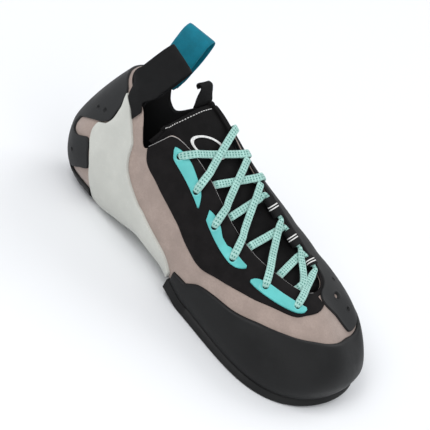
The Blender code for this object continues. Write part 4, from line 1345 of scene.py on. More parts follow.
@dataclass
class Rubbers:
    """Toe rand, toe patch, pale slingshot rand and heel patch."""

    rand: float = 0.0019
    patch: float = 0.0015
    toe_rand: Table = (
        (0.240, -0.22), (0.255, -0.05), (0.275, 0.12), (0.300, 0.22), (0.330, 0.31),
        (0.378, 0.46), (0.418, 0.51), (0.447, 0.52), (0.474, 0.50), (0.491, 0.485),
        (0.511, 0.475), (0.530, 0.445), (0.560, 0.415), (0.600, 0.395), (0.633, 0.385),
        (0.669, 0.375), (0.700, 0.34), (0.725, 0.22), (0.745, 0.00), (0.760, -0.25),
    )
    rand_low: float = -0.60
    toe_patch: Table = (
        (0.507, 0.785, 0.83), (0.511, 0.73, 0.86), (0.517, 0.66, 0.89), (0.521, 0.56, 0.905),
        (0.526, 0.49, 0.92), (0.535, 0.465, 0.94), (0.560, 0.44, 0.955), (0.600, 0.42, 0.955),
        (0.633, 0.41, 0.955), (0.669, 0.40, 0.955), (0.700, 0.41, 0.955),
        (0.735, 0.44, 0.955), (0.770, 0.47, 0.945), (0.800, 0.50, 0.935),
        (0.830, 0.54, 0.92), (0.850, 0.60, 0.90),
    )
    wing: Table = (
        (0.930, 0.0705, 0.0735), (0.880, 0.0735, 0.0880), (0.770, 0.0792, 0.1020),
        (0.650, 0.0800, 0.1130), (0.530, 0.0755, 0.1220), (0.460, 0.0640, 0.1235),
        (0.390, 0.0630, 0.1250), (0.280, 0.0670, 0.1300), (0.190, 0.0730, 0.1380),
        (0.080, 0.0790, 0.1520), (-0.040, 0.0840, 0.1690), (-0.150, 0.0875, 0.1840),
        (-0.250, 0.0910, 0.2070), (-0.350, 0.0945, 0.2280), (-0.480, 0.0980, 0.2355),
        (-0.650, 0.1000, 0.2350), (-0.820, 0.1010, 0.2345), (-1.000, 0.1020, 0.2340),
    )
    inner_wing: Table = (
        (0.690, 0.0805, 0.0830), (0.660, 0.0803, 0.0865), (0.620, 0.0800, 0.0900),
        (0.570, 0.0785, 0.0925), (0.520, 0.0755, 0.0945), (0.460, 0.0645, 0.0970),
        (0.390, 0.0630, 0.1010), (0.280, 0.0680, 0.1090), (0.190, 0.0735, 0.1230),
    )
    heel_rows: Table = (
        (-0.44, -0.44, 0.050), (-0.42, -0.36, 0.062), (-0.38, -0.22, 0.074),
        (-0.32, -0.10, 0.0835), (-0.25, 0.02, 0.0790), (-0.20, 0.10, 0.0750),
        (-0.15, 0.19, 0.0705), (-0.10, 0.245, 0.0640), (-0.06, 0.20, 0.0560),
        (0.00, 0.13, 0.0460), (0.06, 0.10, 0.0360), (0.14, 0.17, 0.0310),
        (0.24, 0.265, 0.0320), (0.33, 0.36, 0.0410), (0.42, 0.445, 0.0560),
        (0.50, 0.505, 0.0700), (0.60, 0.595, 0.0780), (0.72, 0.74, 0.0785),
        (0.83, 0.865, 0.0745), (0.88, 0.925, 0.0700), (0.93, 0.955, 0.0630),
        (0.945, 0.968, 0.0450), (0.955, 0.972, 0.0250),
    )
    heel_dimples: tuple[Dimple, ...] = (
        Dimple(0.049, 0.57, 0.0011), Dimple(0.062, 0.61, 0.0012), Dimple(0.053, -0.12, 0.0012),
        Dimple(0.951, 0.57, 0.0011), Dimple(0.938, 0.61, 0.0012),
    )
    toe_dimples: tuple[Dimple, ...] = (
        Dimple(0.592, 0.79, 0.0010), Dimple(0.554, 0.77, 0.0021, 0.0017),
        Dimple(0.554, 0.61, 0.0013),
    )

    sling_radius: float = 0.0011
    wing_share: float = 0.46
    bridge: tuple[float, float] = (0.1020, 0.2340)

    def sling(self, u: Array, v: Array) -> tuple[Array, Array]:
        """Upper face of the slingshot rand: outer wing, bridge under the arch, inner wing."""
        u, span = spaced(u), self.wing_share
        outer = np.array(self.wing)
        inner = np.array(self.inner_wing + self.wing[len(self.inner_wing):])
        side_outer = v < span
        side_inner = v > 1.0 - span
        points = np.zeros((len(u), 3))
        for table, chosen, share, flip in ((outer, side_outer, v / span, False),
                                           (inner, side_inner, (1.0 - v) / span, True)):
            rows = np.clip(share[chosen], 0.0, 1.0) * (len(table) - 1)
            numbers = np.arange(len(table))
            level, rear, front = (even_curve(numbers, table[:, k], rows) for k in range(3))
            ring = rear + (front - rear) * u[chosen]
            wide = (front - rear) * RING_LENGTH
            near = np.minimum(np.minimum(u[chosen], 1.0 - u[chosen]) * wide, rows * 0.004)
            ring = LAST.across(ring) if flip else ring
            lift = BEDDING + self.rand - round_over(near, self.sling_radius, self.rand)
            points[chosen] = LAST.on_side(ring, level, lift)
        middle = ~(side_outer | side_inner)
        rear, front = self.bridge
        ring = rear + (front - rear) * u[middle]
        near = np.minimum(u[middle], 1.0 - u[middle]) * (front - rear) * RING_LENGTH
        drop = round_over(near, self.sling_radius, self.rand)
        first = LAST.on_side(ring, -1.0, self.rand - drop)
        second = LAST.on_side(LAST.across(ring), -1.0, self.rand - drop)
        share = (v[middle] - span) / (1.0 - 2.0 * span)
        row = first + (second - first) * share[:, None]
        flat = (LAST.floor(row[:, 0]) + LAST.sole_thickness
                - self.rand + drop - 0.0001)
        settle = np.clip(np.minimum(share, 1.0 - share) / 0.2, 0.0, 1.0)
        row[:, 2] += (flat - row[:, 2]) * settle
        points[middle] = row
        return points, np.stack([u * 0.05, v * 0.25], 1)

    def heel(self, u: Array, v: Array) -> tuple[Array, Array]:
        """Upper face of the heel patch."""
        share = np.sin((u - 0.5) * np.pi)
        rows = spaced(v) * (len(self.heel_rows) - 1)
        numbers = np.arange(len(self.heel_rows))
        back, edge, reach = (even_curve(numbers, column(self.heel_rows, k), rows)
                             for k in range(3))
        ring, level = share * reach, back + (edge - back) * share ** 2
        near = np.minimum((1.0 - np.abs(share)) * reach * RING_LENGTH,
                          np.minimum(rows, numbers[-1] - rows) * 0.0035)
        lift = 0.0001 + self.patch - round_over(near, 0.0009, self.patch)
        lift = lift + pitted(self.heel_dimples, LAST.place(ring, level))
        return LAST.on_side(ring, level, lift), np.stack([ring * RING_LENGTH, level * 0.06], 1)

    def build(self) -> None:
        """Build the four rubber pieces."""
        table = tuple((ring, min(self.rand_low, high - 0.05), high)
                      for ring, high in self.toe_rand)
        Overlay("toe_rand_sheet", Cloth.BLACK_RUBBER, "black_rubber", ("toe_rand",), table,
                self.rand, radius=0.0010, columns=380, rows=44).build()
        Overlay("throat_binding", Cloth.FLAP, "microfibre", (),
                ((0.500, 0.90, 1.0), (0.520, 0.90, 1.0), (0.700, 0.93, 1.0),
                 (0.775, 0.95, 1.0), (0.790, 0.985, 1.0)), 0.0006, radius=0.0005, columns=240,
                rows=16).build()
        Overlay("toe_patch_sheet", Cloth.GREY_RUBBER, "grey_rubber", ("toe_patch",),
                self.toe_patch, self.patch, radius=0.0009, columns=520, rows=84,
                dimples=self.toe_dimples).build()
        sling = Bench.lay("pale_slingshot", 60, 300, self.sling)
        Bench.thicken(sling, self.rand)
        Bench.dress(sling, Cloth.PALE_RUBBER, "pale_rubber", ("heel_rand",))
        heel = Bench.lay("heel_patch_sheet", 190, 215, self.heel)
        Bench.thicken(heel, self.patch)
        Bench.dress(heel, Cloth.GREY_RUBBER, "grey_rubber", ("heel_patch",))


@dataclass
class Closure:
    """Black flap with its pale piping and three turquoise eyelet plates."""

    thickness: float = 0.0010
    plate: float = 0.0011
    flap: Table = (
        (0.1415, 0.595, 0.63), (0.148, 0.47, 0.71), (0.157, 0.40, 0.83), (0.168, 0.35, 0.955),
        (0.180, 0.30, 0.985), (0.195, 0.265, 0.985), (0.215, 0.23, 0.985),
        (0.232, 0.21, 0.985), (0.252, 0.22, 0.985), (0.268, 0.25, 0.985),
        (0.300, 0.38, 0.985), (0.345, 0.55, 0.985), (0.390, 0.65, 0.985),
        (0.425, 0.68, 0.985), (0.449, 0.73, 0.985), (0.480, 0.77, 0.985),
        (0.502, 0.795, 0.985),
    )
    plates: tuple[Table, ...] = (
        ((0.1770, 0.81, 0.85), (0.1810, 0.71, 0.865), (0.1900, 0.675, 0.875),
         (0.2040, 0.64, 0.86), (0.2180, 0.605, 0.80), (0.2270, 0.585, 0.755),
         (0.2330, 0.575, 0.70), (0.2350, 0.58, 0.62)),
        ((0.2510, 0.60, 0.71), (0.2570, 0.59, 0.735), (0.2660, 0.585, 0.755),
         (0.2760, 0.58, 0.75), (0.2860, 0.58, 0.70), (0.2940, 0.585, 0.70),
         (0.3030, 0.595, 0.735), (0.3150, 0.63, 0.755), (0.3260, 0.69, 0.765),
         (0.3335, 0.745, 0.775)),
        ((0.3440, 0.675, 0.70), (0.3500, 0.675, 0.745), (0.3600, 0.68, 0.785),
         (0.3800, 0.69, 0.815), (0.4020, 0.70, 0.815), (0.4250, 0.71, 0.81),
         (0.4400, 0.735, 0.80), (0.4470, 0.765, 0.79)),
    )
    holes: tuple[tuple[float, float], ...] = (
        (0.188, 0.79), (0.224, 0.665), (0.267, 0.665), (0.309, 0.665), (0.369, 0.755),
        (0.427, 0.765),
    )
    piping: float = 0.00042

    def edge_line(self) -> tuple[Array, Array]:
        """Ring values and levels just inside the flap's rear and throat edge."""
        rings = np.concatenate([np.linspace(0.1425, 0.178, 60), np.linspace(0.179, 0.497, 240)])
        high = even_curve(column(self.flap, 0), column(self.flap, 2), rings)
        return rings, high - 0.004

    def build(self) -> None:
        """Build the flap, the plates and the piping."""
        Overlay("closure_flap_cloth", Cloth.FLAP, "microfibre", ("closure_flap",), self.flap,
                self.thickness, radius=0.0006, columns=330, rows=60).build()
        for number, table in enumerate(self.plates, start=1):
            EyeletPlate(f"eyelet_plate_{number}_moulded", Cloth.PLATE, "plate",
                        (f"eyelet_plate_{number}",), table, self.plate,
                        lift=self.thickness + BEDDING, radius=0.0006, columns=110, rows=34,
                        holes=self.holes[2 * number - 2:2 * number]).build()
        rings, levels = self.edge_line()
        path = LAST.on_side(rings, levels, self.thickness * 0.75)
        faces = LAST.outward(LAST.place, rings, levels)
        cord = tape("flap_piping", path, faces, self.piping, self.piping, 8, 0.0)
        Bench.dress(cord, Cloth.PIPING)


@dataclass
class Tongue:
    """Padded tongue with a stitched top edge, a plain badge and a folded pull tab."""

    thickness: float = 0.0028
    puff: float = 0.0012
    wall: float = 0.0018
    gap: float = 0.0003
    first_ring: float = 0.131
    last_ring: float = 0.474
    stitch_ring: float = 0.1395
    stitch_share: float = 0.0495
    badge_middle: tuple[float, float] = (0.1990, 0.40)
    badge_size: tuple[float, float] = (0.0165, 0.205)
    tab_width: float = 0.0110
    tab_height: float = 0.0108
    dip: Table = ((-0.38, 0.0), (-0.31, 0.0040), (-0.14, 0.0125), (0.13, 0.0205),
                  (0.32, 0.0175), (0.47, 0.0125), (0.64, 0.0065), (1.00, 0.0))
    tab_thickness: float = 0.0012

    def crossing(self, ring: Array, share: Array) -> Array:
        """Crossing at a share of the tongue's width, narrower towards the toe."""
        narrowed = 1.0 - 0.2 * np.maximum(0.0, (ring - 0.40) / 0.055)
        return 0.5 + (-0.35 + 1.70 * share - 0.5) * narrowed

    def dipped(self, crossing: Array) -> Array:
        """How far the top edge swings forward at a crossing."""
        places, depths = np.array(self.dip).T
        return np.interp(crossing, places, depths)

    def top(self, ring: Array, crossing: Array) -> Array:
        """Lift of the tongue's face: padding, soft waves and its rolled top edge."""
        inside = np.clip(crossing, 0.0, 1.0)
        puff = self.puff * np.sin(np.pi * inside) ** 2
        wave = np.sin((ring - self.first_ring) * 2.0 * np.pi / 0.052)
        wave = 0.00035 * wave * np.sin(np.pi * inside)
        seam = -0.0005 * np.exp(-((ring - self.stitch_ring) / 0.0013) ** 2)
        roll = -round_over((ring - self.first_ring) * RING_LENGTH, 0.0013, 0.0012)
        roll = roll - 0.0016 * np.clip((ring - 0.452) / 0.018, 0.0, 1.0)
        return -(self.wall + 2.0 * self.gap) + puff + wave + seam + roll

    def shape(self, u: Array, v: Array) -> tuple[Array, Array]:
        """Points and lay of the tongue's face."""
        ring = self.first_ring + (self.last_ring - self.first_ring) * u ** 1.25
        crossing = self.crossing(ring, v)
        lift = self.top(ring, crossing) - 0.0010 * np.clip(-crossing / 0.20, 0.0, 1.0)
        ring = ring + self.dipped(crossing) * (1.0 - u) ** 4
        lay = np.stack([ring * RING_LENGTH, crossing * 0.04], 1)
        return LAST.on_top(ring, crossing, lift), lay

    def stitches(self) -> bpy.types.Object:
        """White dashes along the tongue's top edge."""
        dashes = []
        starts = np.linspace(-0.02, 0.96, 26)
        for number, start in enumerate(starts):
            crossing = start + np.linspace(0.0, 0.022, 5)
            ring = np.full_like(crossing, self.stitch_ring)
            lift = self.top(ring, crossing) + 0.00018
            ring = ring + self.dipped(crossing) * (1.0 - self.stitch_share) ** 4
            path = LAST.on_top(ring, crossing, lift)
            faces = LAST.outward(LAST.over, ring, crossing)
            dashes.append(tape(f"dash_{number}", path, faces, 0.00060, 0.00042, 6, 0.0))
        return Bench.join("tongue_stitches", dashes)

    def badge(self, u: Array, v: Array) -> tuple[Array, Array]:
        """Plain oval ring sewn on the tongue."""
        turn, cut = 2.0 * np.pi * u, 2.0 * np.pi * v
        radius = 1.0 + 0.11 * np.cos(cut)
        ring = self.badge_middle[0] + self.badge_size[0] * radius * np.cos(turn)
        crossing = self.badge_middle[1] + self.badge_size[1] * radius * np.sin(turn)
        lift = self.top(ring, crossing) + 0.00010 + 0.00030 * np.sin(cut)
        return LAST.on_top(ring, crossing, lift), np.stack([u * 0.05, v * 0.003], 1)

    def tab(self) -> bpy.types.Object:
        """Tab that stands on the top edge and rolls over at its end."""
        base = LAST.on_top(0.1350, 0.76, self.puff - self.wall - self.gap - self.thickness / 2)
        side = unit(LAST.on_top(0.1315, 0.80, 0.0) - LAST.on_top(0.1315, 0.52, 0.0))
        rear = unit(LAST.over(0.131, 0.66) - LAST.over(0.150, 0.66))
        up = unit(np.array([-0.12, 0.0, 1.0]))
        foot = base + rear * (self.tab_thickness / 2 + 4.0 * self.gap)
        steps = ((-0.25, 0.0), (0.1, 0.0), (0.5, 0.35), (0.85, 0.5), (1.02, 1.0), (1.00, 2.2),
                 (0.84, 2.6), (0.74, 1.9))
        points = np.array([foot + up * self.tab_height * rise + rear * 0.002 * push
                           for rise, push in steps])
        path = through(points, 60)
        along = unit(np.gradient(path, axis=0))
        faces = np.cross(along, np.broadcast_to(side, along.shape))
        wide = self.tab_width * np.interp(np.linspace(0.0, 1.0, 60), (0.0, 0.25, 0.6, 1.0),
                                          (1.25, 1.20, 0.85, 0.80))
        return tape("tongue_tab", path, faces, wide, self.tab_thickness, 28, 0.75)

    def build(self) -> None:
        """Build the tongue and what is sewn on it."""
        item = Bench.lay("tongue_padded", 205, 104, self.shape)
        Bench.thicken(item, self.thickness)
        Bench.dress(item, Cloth.TONGUE, "microfibre", ("tongue",), 60.0)
        Bench.dress(self.stitches(), Cloth.STITCH)
        Bench.dress(Bench.lay("tongue_badge", 96, 14, self.badge, solid=True), Cloth.BADGE)
        Bench.dress(self.tab(), Cloth.BLACK_TAPE, "black_webbing", ("tongue_pull",))


class End(Enum):
    """What a lace strand does at one of its ends."""

    HOLE = "comes out of an eyelet"
    UNDER_FLAP = "comes from under the flap's throat edge"
    OVER_RIM = "goes over the inner throat edge and into the upper"
    UNDER_RIM = "goes down under the inner throat edge"
    LOOP = "goes into a webbing loop"


@dataclass(frozen=True)
class Strand:
    """One crossing of the lace: start and end as ring value and crossing, lifts and bow."""

    start: tuple[float, float]
    end: tuple[float, float]
    middle_lift: float
    end_lift: float
    first: End
    last: End
    bow: float = 0.0
    loop: int = -1


@dataclass
class Lacing:
    """Flat lace and the striped webbing loops that hold it on the inner side."""

    width: float = 0.0048
    thickness: float = 0.0014
    loop_wall: float = 0.0009
    clearance: float = 0.0004
    loop_lift: float = 2.0
    sight: tuple[float, float, float] = (0.256, -0.785, 0.564)
    over_rim: Table = ((0.05, 0.0027), (0.10, 0.0018), (0.13, 0.0002), (0.135, -0.0022))
    under_rim: Table = ((0.06, -0.0016), (0.12, -0.0034))
    loops: Table = ((0.2725, 0.3015, 0.83), (0.324, 0.3545, 0.84), (0.3820, 0.4025, 0.885))
    strands: tuple[Strand, ...] = (
        Strand((0.188, -0.210), (0.204, 1.060), 0.95, 2.1, End.HOLE, End.OVER_RIM),
        Strand((0.224, -0.335), (0.173, 1.040), 2.00, 2.3, End.HOLE, End.OVER_RIM),
        Strand((0.247, -0.020), (0.240, 1.060), 0.95, 2.1, End.UNDER_FLAP, End.OVER_RIM),
        Strand((0.267, -0.335), (0.210, 0.900), 2.00, 1.3, End.HOLE, End.UNDER_RIM),
        Strand((0.289, -0.030), (0.268, 0.830), 0.95, 1.9, End.UNDER_FLAP, End.LOOP, loop=0),
        Strand((0.309, -0.335), (0.250, 0.880), 2.00, 1.2, End.HOLE, End.UNDER_RIM),
        Strand((0.331, -0.030), (0.3185, 0.830), 0.95, 1.9, End.UNDER_FLAP, End.LOOP, loop=1),
        Strand((0.369, -0.245), (0.307, 0.840), 2.00, 2.1, End.HOLE, End.LOOP, loop=0),
        Strand((0.398, -0.010), (0.3700, 0.850), 0.95, 1.9, End.UNDER_FLAP, End.LOOP, loop=2),
        Strand((0.440, -0.030), (0.361, 0.850), 2.00, 2.1, End.UNDER_FLAP, End.LOOP,
               bow=0.0034, loop=1),
        Strand((0.427, -0.235), (0.4130, 0.870), 1.70, 2.0, End.HOLE, End.LOOP, loop=2),
    )

    def straight(self, strand: Strand, crossings: Array) -> Array:
        """Ring values at which a taut strand passes each crossing.

        Args:
            strand: the strand.
            crossings: crossings along it.

        Returns:
            Ring values in one plane, but for the strand's bow.
        """
        ring, start = strand.start
        first, last = LAST.over(ring, start), LAST.over(*strand.end)
        ends = LAST.outward(LAST.over, np.array([ring, strand.end[0]]),
                            np.array([start, strand.end[1]]))
        upright = unit(np.cross(last - first, unit(ends.sum(axis=0))))
        seen = unit(np.cross(last - first, self.sight))
        plane = unit(upright * 0.3 + seen * 0.7 * np.sign(upright @ seen))
        share = (crossings - start) / (strand.end[1] - start)
        target = first @ plane + strand.bow * np.sin(np.pi * share)
        low, high = np.full_like(crossings, 0.135), np.full_like(crossings, 0.490)
        rising = np.sign((LAST.over(high, crossings) - LAST.over(low, crossings)) @ plane)
        for _ in range(36):
            middle = (low + high) / 2
            beyond = (LAST.over(middle, crossings) @ plane - target) * rising > 0.0
            high, low = np.where(beyond, middle, high), np.where(beyond, low, middle)
        return (low + high) / 2

    def route(self, strand: Strand) -> tuple[Array, Array, Array]:
        """Way of a strand with its hidden ends.

        Args:
            strand: the strand.

        Returns:
            Ring values, crossings and lifts.
        """
        begin, end = strand.start[1], strand.end[1]
        out_of_hole = strand.first is End.HOLE
        first = begin + (0.10 if out_of_hole else 0.14)
        crossings = np.concatenate([[begin, begin + 0.07], np.linspace(first, end, 12)])
        rings = self.straight(strand, crossings)
        lead = 2.45 if out_of_hole else 0.8
        reach = (0.35, 0.45) if out_of_hole else (0.30, 0.30)
        rise_in = np.clip((reach[0] - crossings) / reach[1], 0.0, 1.0)
        rise_out = np.clip((crossings - 0.70) / 0.25, 0.0, 1.0)
        lifts = self.thickness * (strand.middle_lift + (lead - strand.middle_lift) * rise_in
                                  + (strand.end_lift - strand.middle_lift) * rise_out)
        slope = (rings[-1] - rings[-2]) / (crossings[-1] - crossings[-2])
        if out_of_hole:
            before = [(rings[0], begin, -0.0014), (rings[0], begin + 0.005, 0.0018)]
        else:
            before = [(rings[0], begin, -0.0027), (rings[1], begin + 0.07, -0.0009)]
        rings, crossings, lifts = rings[2:], crossings[2:], lifts[2:]
        if strand.last is End.LOOP:
            rear, front, crossing = self.loops[strand.loop]
            inward = 1.0 if rings[-1] < rear else -1.0
            mouth = rear if inward > 0.0 else front
            high = self.loop_lift * self.thickness
            after = [(mouth + inward * 0.001, crossing + 0.01, high),
                     (mouth + inward * 0.008, crossing, high)]
        else:
            steps = self.over_rim if strand.last is End.OVER_RIM else self.under_rim
            after = [(rings[-1] + slope * step, crossings[-1] + step, lift)
                     for step, lift in steps]
        table = np.array([*before, *zip(rings, crossings, lifts), *after])
        return table[:, 0], table[:, 1], table[:, 2]

    def strand(self, number: int, strand: Strand) -> bpy.types.Object:
        """Build one strand."""
        rings, crossings, lifts = self.route(strand)
        knots = LAST.on_top(rings, crossings, lifts)
        faces = LAST.outward(LAST.over, rings, crossings)
        count = 110
        path = through(knots, count)
        reach = reach_along(knots)
        even = np.linspace(0.0, reach[-1], count)
        faces = unit(np.stack([np.interp(even, reach, faces[:, k]) for k in range(3)], 1))
        wide = np.full(count, self.width)
        if strand.first is End.HOLE:
            wide *= 0.62 + 0.38 * np.clip((even - 0.001) / 0.005, 0.0, 1.0)
        if strand.last is End.LOOP:
            wide *= 0.50 + 0.50 * np.clip((even[-1] - even - 0.003) / 0.008, 0.0, 1.0)
        along = unit(np.gradient(path, axis=0))
        upright = np.abs((along * faces).sum(axis=1)) > 0.9
        if upright.any():
            good = np.flatnonzero(~upright)
            for k in np.flatnonzero(upright):
                faces[k] = faces[good[np.argmin(np.abs(good - k))]]
        return tape(f"strand_{number}", path, faces, wide, self.thickness, 18)

    def loop_way(self, loop: Sequence[float]) -> tuple[Array, Array, Array]:
        """Path, faces and sides along the inside of a webbing loop.

        Args:
            loop: rear ring, front ring and crossing.

        Returns:
            Points, upward directions and sideways directions.
        """
        rear, front, crossing = loop
        rings = np.linspace(rear, front, 40)
        crossings = np.full_like(rings, crossing)
        path = LAST.on_top(rings, crossings, self.loop_lift * self.thickness)
        faces = LAST.outward(LAST.over, rings, crossings)
        return path, faces, unit(np.cross(faces, unit(np.gradient(path, axis=0))))

    def webbing_loop(self, number: int, loop: Sequence[float]) -> bpy.types.Object:
        """Build one webbing loop: a flat tube round the lace with a tail to the throat edge."""
        path, faces, sides = self.loop_way(loop)
        half_wide = self.width / 2 + self.clearance
        half_tall = self.thickness / 2 + self.clearance
        reach = reach_along(path)
        length = reach[-1]

        def tube(u: Array, v: Array) -> tuple[Array, Array]:
            """Points and lay of the tube, outer face first and then the inner one."""
            k = picked(u, len(path))
            lap = v * 2.0
            outer = lap < 1.0
            angle = 2.0 * np.pi * np.where(outer, lap, 2.0 - lap)
            wall = np.where(outer, self.loop_wall, 0.0)
            wide = (half_wide + wall) * swollen(np.cos(angle), 0.6)
            tall = (half_tall + wall) * swollen(np.sin(angle), 0.7)
            points = path[k] + sides[k] * wide[:, None] + faces[k] * tall[:, None]
            lay = np.stack([reach[k] - length / 2 + 0.0099, angle * 0.003], 1)
            return points, lay

        ring_ends = Bench.lay(f"loop_tube_{number}", len(path) - 1, 96, tube)
        rear, front, crossing = loop

        def tail(u: Array, v: Array) -> tuple[Array, Array]:
            """Points and lay of the tail, from the tube's inner side under the upper's edge."""
            rings = rear + (front - rear) * (0.06 + 0.88 * u)
            start = crossing + 0.055
            crossings = start + (1.03 - start) * v
            lift = 0.0022 * (1.0 - v) ** 1.5 - 0.0021 * v
            lay = np.stack([u * length - length / 2 + 0.0099, v * 0.006], 1)
            return LAST.on_top(rings, crossings, lift), lay

        flange = Bench.lay(f"loop_tail_{number}", 24, 16, tail)
        Bench.thicken(flange, self.loop_wall)
        return Bench.join(f"webbing_loop_{number}", [ring_ends, flange])

    def build(self) -> None:
        """Build the lace and its loops."""
        parts = [self.strand(number, strand) for number, strand in enumerate(self.strands, 1)]
        for number, loop in enumerate(self.loops, start=1):
            path, faces, _ = self.loop_way(loop)
            parts.append(tape(f"run_{number}", path, faces, self.width * 0.9,
                              self.thickness * 0.9, 18))
            made = self.webbing_loop(number, loop)
            Bench.dress(made, Cloth.LOOP_TAPE, "black_webbing", (f"lace_loop_{number}",))
        Bench.dress(Bench.join("flat_lace", parts), Cloth.LACE, "lace", ("lace",))


@dataclass
class PullLoops:
    """Black outer and teal inner pull loops at the heel."""

    thickness: float = 0.0012
    width: float = 0.0195
    height: float = 0.0360
    inside: float = -0.0024
    strands: int = 7
    rises: tuple[float, ...] = (0.27, 0.45, 0.75, 0.93, 1.00, 0.94, 0.75, 0.45, 0.22)
    outer_outs: tuple[float, ...] = (-0.0230, -0.0226, -0.0217, -0.0198, -0.0165, -0.0134,
                                     -0.0117, -0.0119, -0.0146)
    inner_outs: tuple[float, ...] = (0.0195, 0.0217, 0.0227, 0.0217, 0.0183, 0.0150, 0.0135,
                                     0.0130, 0.0125)

    def free_rows(self, rear: float, lean: float, drop: float, outs: Sequence[float],
                  way: tuple[float, float, float]) -> list[tuple[Any, Any]]:
        """Rows of a loop in the air.

        Args:
            rear: distance of the loop's foot from the heel.
            lean: how far the loop leans forward for each metre up.
            drop: how far the loop's foot lies below the heel's height.
            outs: sideways place of each row.
            way: direction across the webbing.

        Returns:
            Middle point and direction of each row.
        """
        foot = LAST.heel_height - drop
        return [((rear + lean * rise * self.height, out, foot + rise * self.height), way)
                for rise, out in zip(self.rises, outs)]

    def strap(self, name: str, sewn: Table, free: Sequence[tuple[Any, Any]],
              tucked: Table) -> bpy.types.Object:
        """Strap through its sewn, free and tucked rows.

        Args:
            name: the piece's name.
            sewn: first ring and level, last ring and level, and lift of rows outside.
            free: middle point and width direction of rows in the air.
            tucked: rows inside the collar.

        Returns:
            The strap.
        """
        shares = np.linspace(0.0, 1.0, self.strands)
        half = self.thickness / 2
        rows = []
        for outside, table in ((1.0, sewn), (0.0, ()), (-1.0, tucked)):
            for first, first_level, last, last_level, lift in table:
                rows.append(LAST.on_side(first + (last - first) * shares,
                                         first_level + (last_level - first_level) * shares,
                                         lift + half * outside))
            if not outside:
                for middle, way in free:
                    way = unit(np.array(way, float)) * self.width
                    middle = np.array(middle, float) - np.array(LAST.origin)
                    rows.append(middle + np.outer(shares - 0.5, way))
        count = 130
        lines = np.array([through(line, count) for line in np.array(rows).transpose(1, 0, 2)])
        middle = lines[self.strands // 2]
        side = unit(lines[-1] - lines[0])
        faces = unit(np.cross(unit(np.gradient(middle, axis=0)), side))
        wide = np.linalg.norm(lines[-1] - lines[0], axis=1)
        reach = reach_along(middle)

        def shape(u: Array, v: Array) -> tuple[Array, Array]:
            """Points and lay of the strap."""
            k = picked(u, count)
            angle = 2.0 * np.pi * v
            across = swollen(np.cos(angle), 0.2)
            tall = swollen(np.sin(angle), 0.7) * half
            place = (across + 1.0) / 2.0 * (self.strands - 1)
            low = np.minimum(place.astype(int), self.strands - 2)
            share = (place - low)[:, None]
            points = lines[low, k] * (1.0 - share) + lines[low + 1, k] * share
            points = points + faces[k] * tall[:, None]
            return points, np.stack([reach[k], across * wide[k] / 2 + 0.02], 1)

        return Bench.lay(name, count - 1, 48, shape, solid=True)

    def build(self) -> None:
        """Build both loops."""
        free = self.free_rows(0.0395, 0.40, 0.002, self.outer_outs, (1.0, 0.06, -0.40))
        outer = self.strap("outer_pull_strap", (
            (0.1035, 0.770, 0.1105, 0.930, 0.0002), (0.0950, 0.845, 0.1100, 0.950, 0.0003),
            (0.0770, 0.920, 0.1090, 0.975, 0.0004), (0.0675, 1.050, 0.1050, 1.060, 0.0008)),
            free, ((0.0675, 1.050, 0.1050, 1.060, self.inside),
                   (0.0720, 0.900, 0.1040, 0.900, self.inside)))
        Bench.dress(outer, Cloth.BLACK_TAPE, "black_webbing", ("pull_loop_outer",))
        free = self.free_rows(0.0375, 0.14, 0.001, self.inner_outs, (1.0, 0.05, -0.02))
        inner = self.strap("inner_pull_strap", (
            (0.9640, 0.930, 0.9130, 0.880, 0.0003), (0.9640, 0.965, 0.9130, 0.940, 0.0004),
            (0.9640, 1.060, 0.9130, 1.060, 0.0008)), free,
            ((0.9640, 1.060, 0.9130, 1.060, self.inside),
             (0.9620, 0.900, 0.9150, 0.900, self.inside)))
        Bench.dress(inner, Cloth.TEAL_TAPE, "teal_webbing", ("pull_loop_inner",))


# ---------------------------------------------------------------- studio

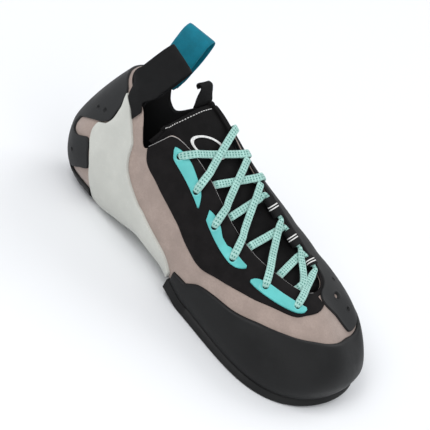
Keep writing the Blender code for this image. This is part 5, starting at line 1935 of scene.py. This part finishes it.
@dataclass
class Studio:
    """Pale floor, soft light and the camera at the photograph's angle."""

    look: tuple[float, float, float] = (0.005198, 0.003168, 0.040)
    azimuth: float = 18.06
    elevation: float = 34.34
    roll: float = 30.13
    distance: float = 0.900
    focal_pixels: float = 1494.0
    frame_pixels: float = 430.0
    centre: tuple[float, float] = (227.53, 232.52)
    sensor: float = 36.0
    floor_size: float = 60.0
    sky: tuple[float, float, float, float] = (0.95, 0.97, 1.0, 1.0)
    sky_strength: float = 0.62
    lights: tuple[tuple[str, tuple[float, float, float], float, float], ...] = (
        ("key", (-0.55, -0.85, 1.25), 0.9, 12.0),
        ("fill", (0.95, -0.55, 0.75), 1.1, 4.0),
        ("rim", (0.15, 0.95, 0.95), 0.8, 5.0),
    )

    def camera(self) -> None:
        """Place the camera, rolled and with a small shift."""
        a, e, r = (math.radians(v) for v in (self.azimuth, self.elevation, self.roll))
        back = Vector((math.sin(a) * math.cos(e), -math.cos(a) * math.cos(e), math.sin(e)))
        right = Vector((math.cos(a), math.sin(a), 0.0))
        up = back.cross(right)
        camera_x = right * math.cos(r) + up * math.sin(r)
        camera_y = up * math.cos(r) - right * math.sin(r)
        data = bpy.data.cameras.new("photo_camera")
        data.sensor_width = self.sensor
        data.lens = self.focal_pixels / self.frame_pixels * self.sensor
        data.shift_x = (self.frame_pixels / 2 - self.centre[0]) / self.frame_pixels
        data.shift_y = (self.centre[1] - self.frame_pixels / 2) / self.frame_pixels
        data.clip_end = 50.0
        item = bpy.data.objects.new("photo_camera", data)
        bpy.context.scene.collection.objects.link(item)
        turn = Matrix((camera_x, camera_y, back)).transposed().to_4x4()
        turn.translation = Vector(self.look) + back * self.distance
        item.matrix_world = turn
        bpy.context.scene.camera = item

    def light(self, name: str, place: tuple[float, float, float], size: float,
              watts: float) -> None:
        """Add a square soft light that looks at the shoe.

        Args:
            name: the light's name.
            place: where it hangs.
            size: side of the square.
            watts: its power.
        """
        data = bpy.data.lights.new(name, "AREA")
        data.size = size
        data.energy = watts
        item = bpy.data.objects.new(name, data)
        bpy.context.scene.collection.objects.link(item)
        item.location = place
        aim = Vector(self.look) - Vector(place)
        item.rotation_euler = aim.to_track_quat("-Z", "Y").to_euler()

    def build(self) -> None:
        """Build the floor, the lights and the world's own light."""
        bpy.ops.object.select_all(action="DESELECT")
        bpy.ops.mesh.primitive_plane_add(size=self.floor_size, location=(0.0, 0.0, 0.0))
        floor = bpy.context.object
        floor.name = "studio_floor"
        floor.data.materials.append(Cloth.FLOOR.material())
        world = bpy.data.worlds.new("studio_light")
        world.use_nodes = True
        sky = world.node_tree.nodes["Background"]
        sky.inputs["Color"].default_value = self.sky
        sky.inputs["Strength"].default_value = self.sky_strength
        bpy.context.scene.world = world
        bpy.context.scene.view_settings.view_transform = "Standard"
        for light in self.lights:
            self.light(*light)
        self.camera()


def main() -> None:
    """Build the shoe and its studio."""
    logging.basicConfig(level=logging.INFO, format="%(name)s %(message)s")
    for group in (Studio, Upper, Soles, Rubbers, Closure, Tongue, Lacing, PullLoops):
        group().build()


if __name__ == "__main__":
    main()
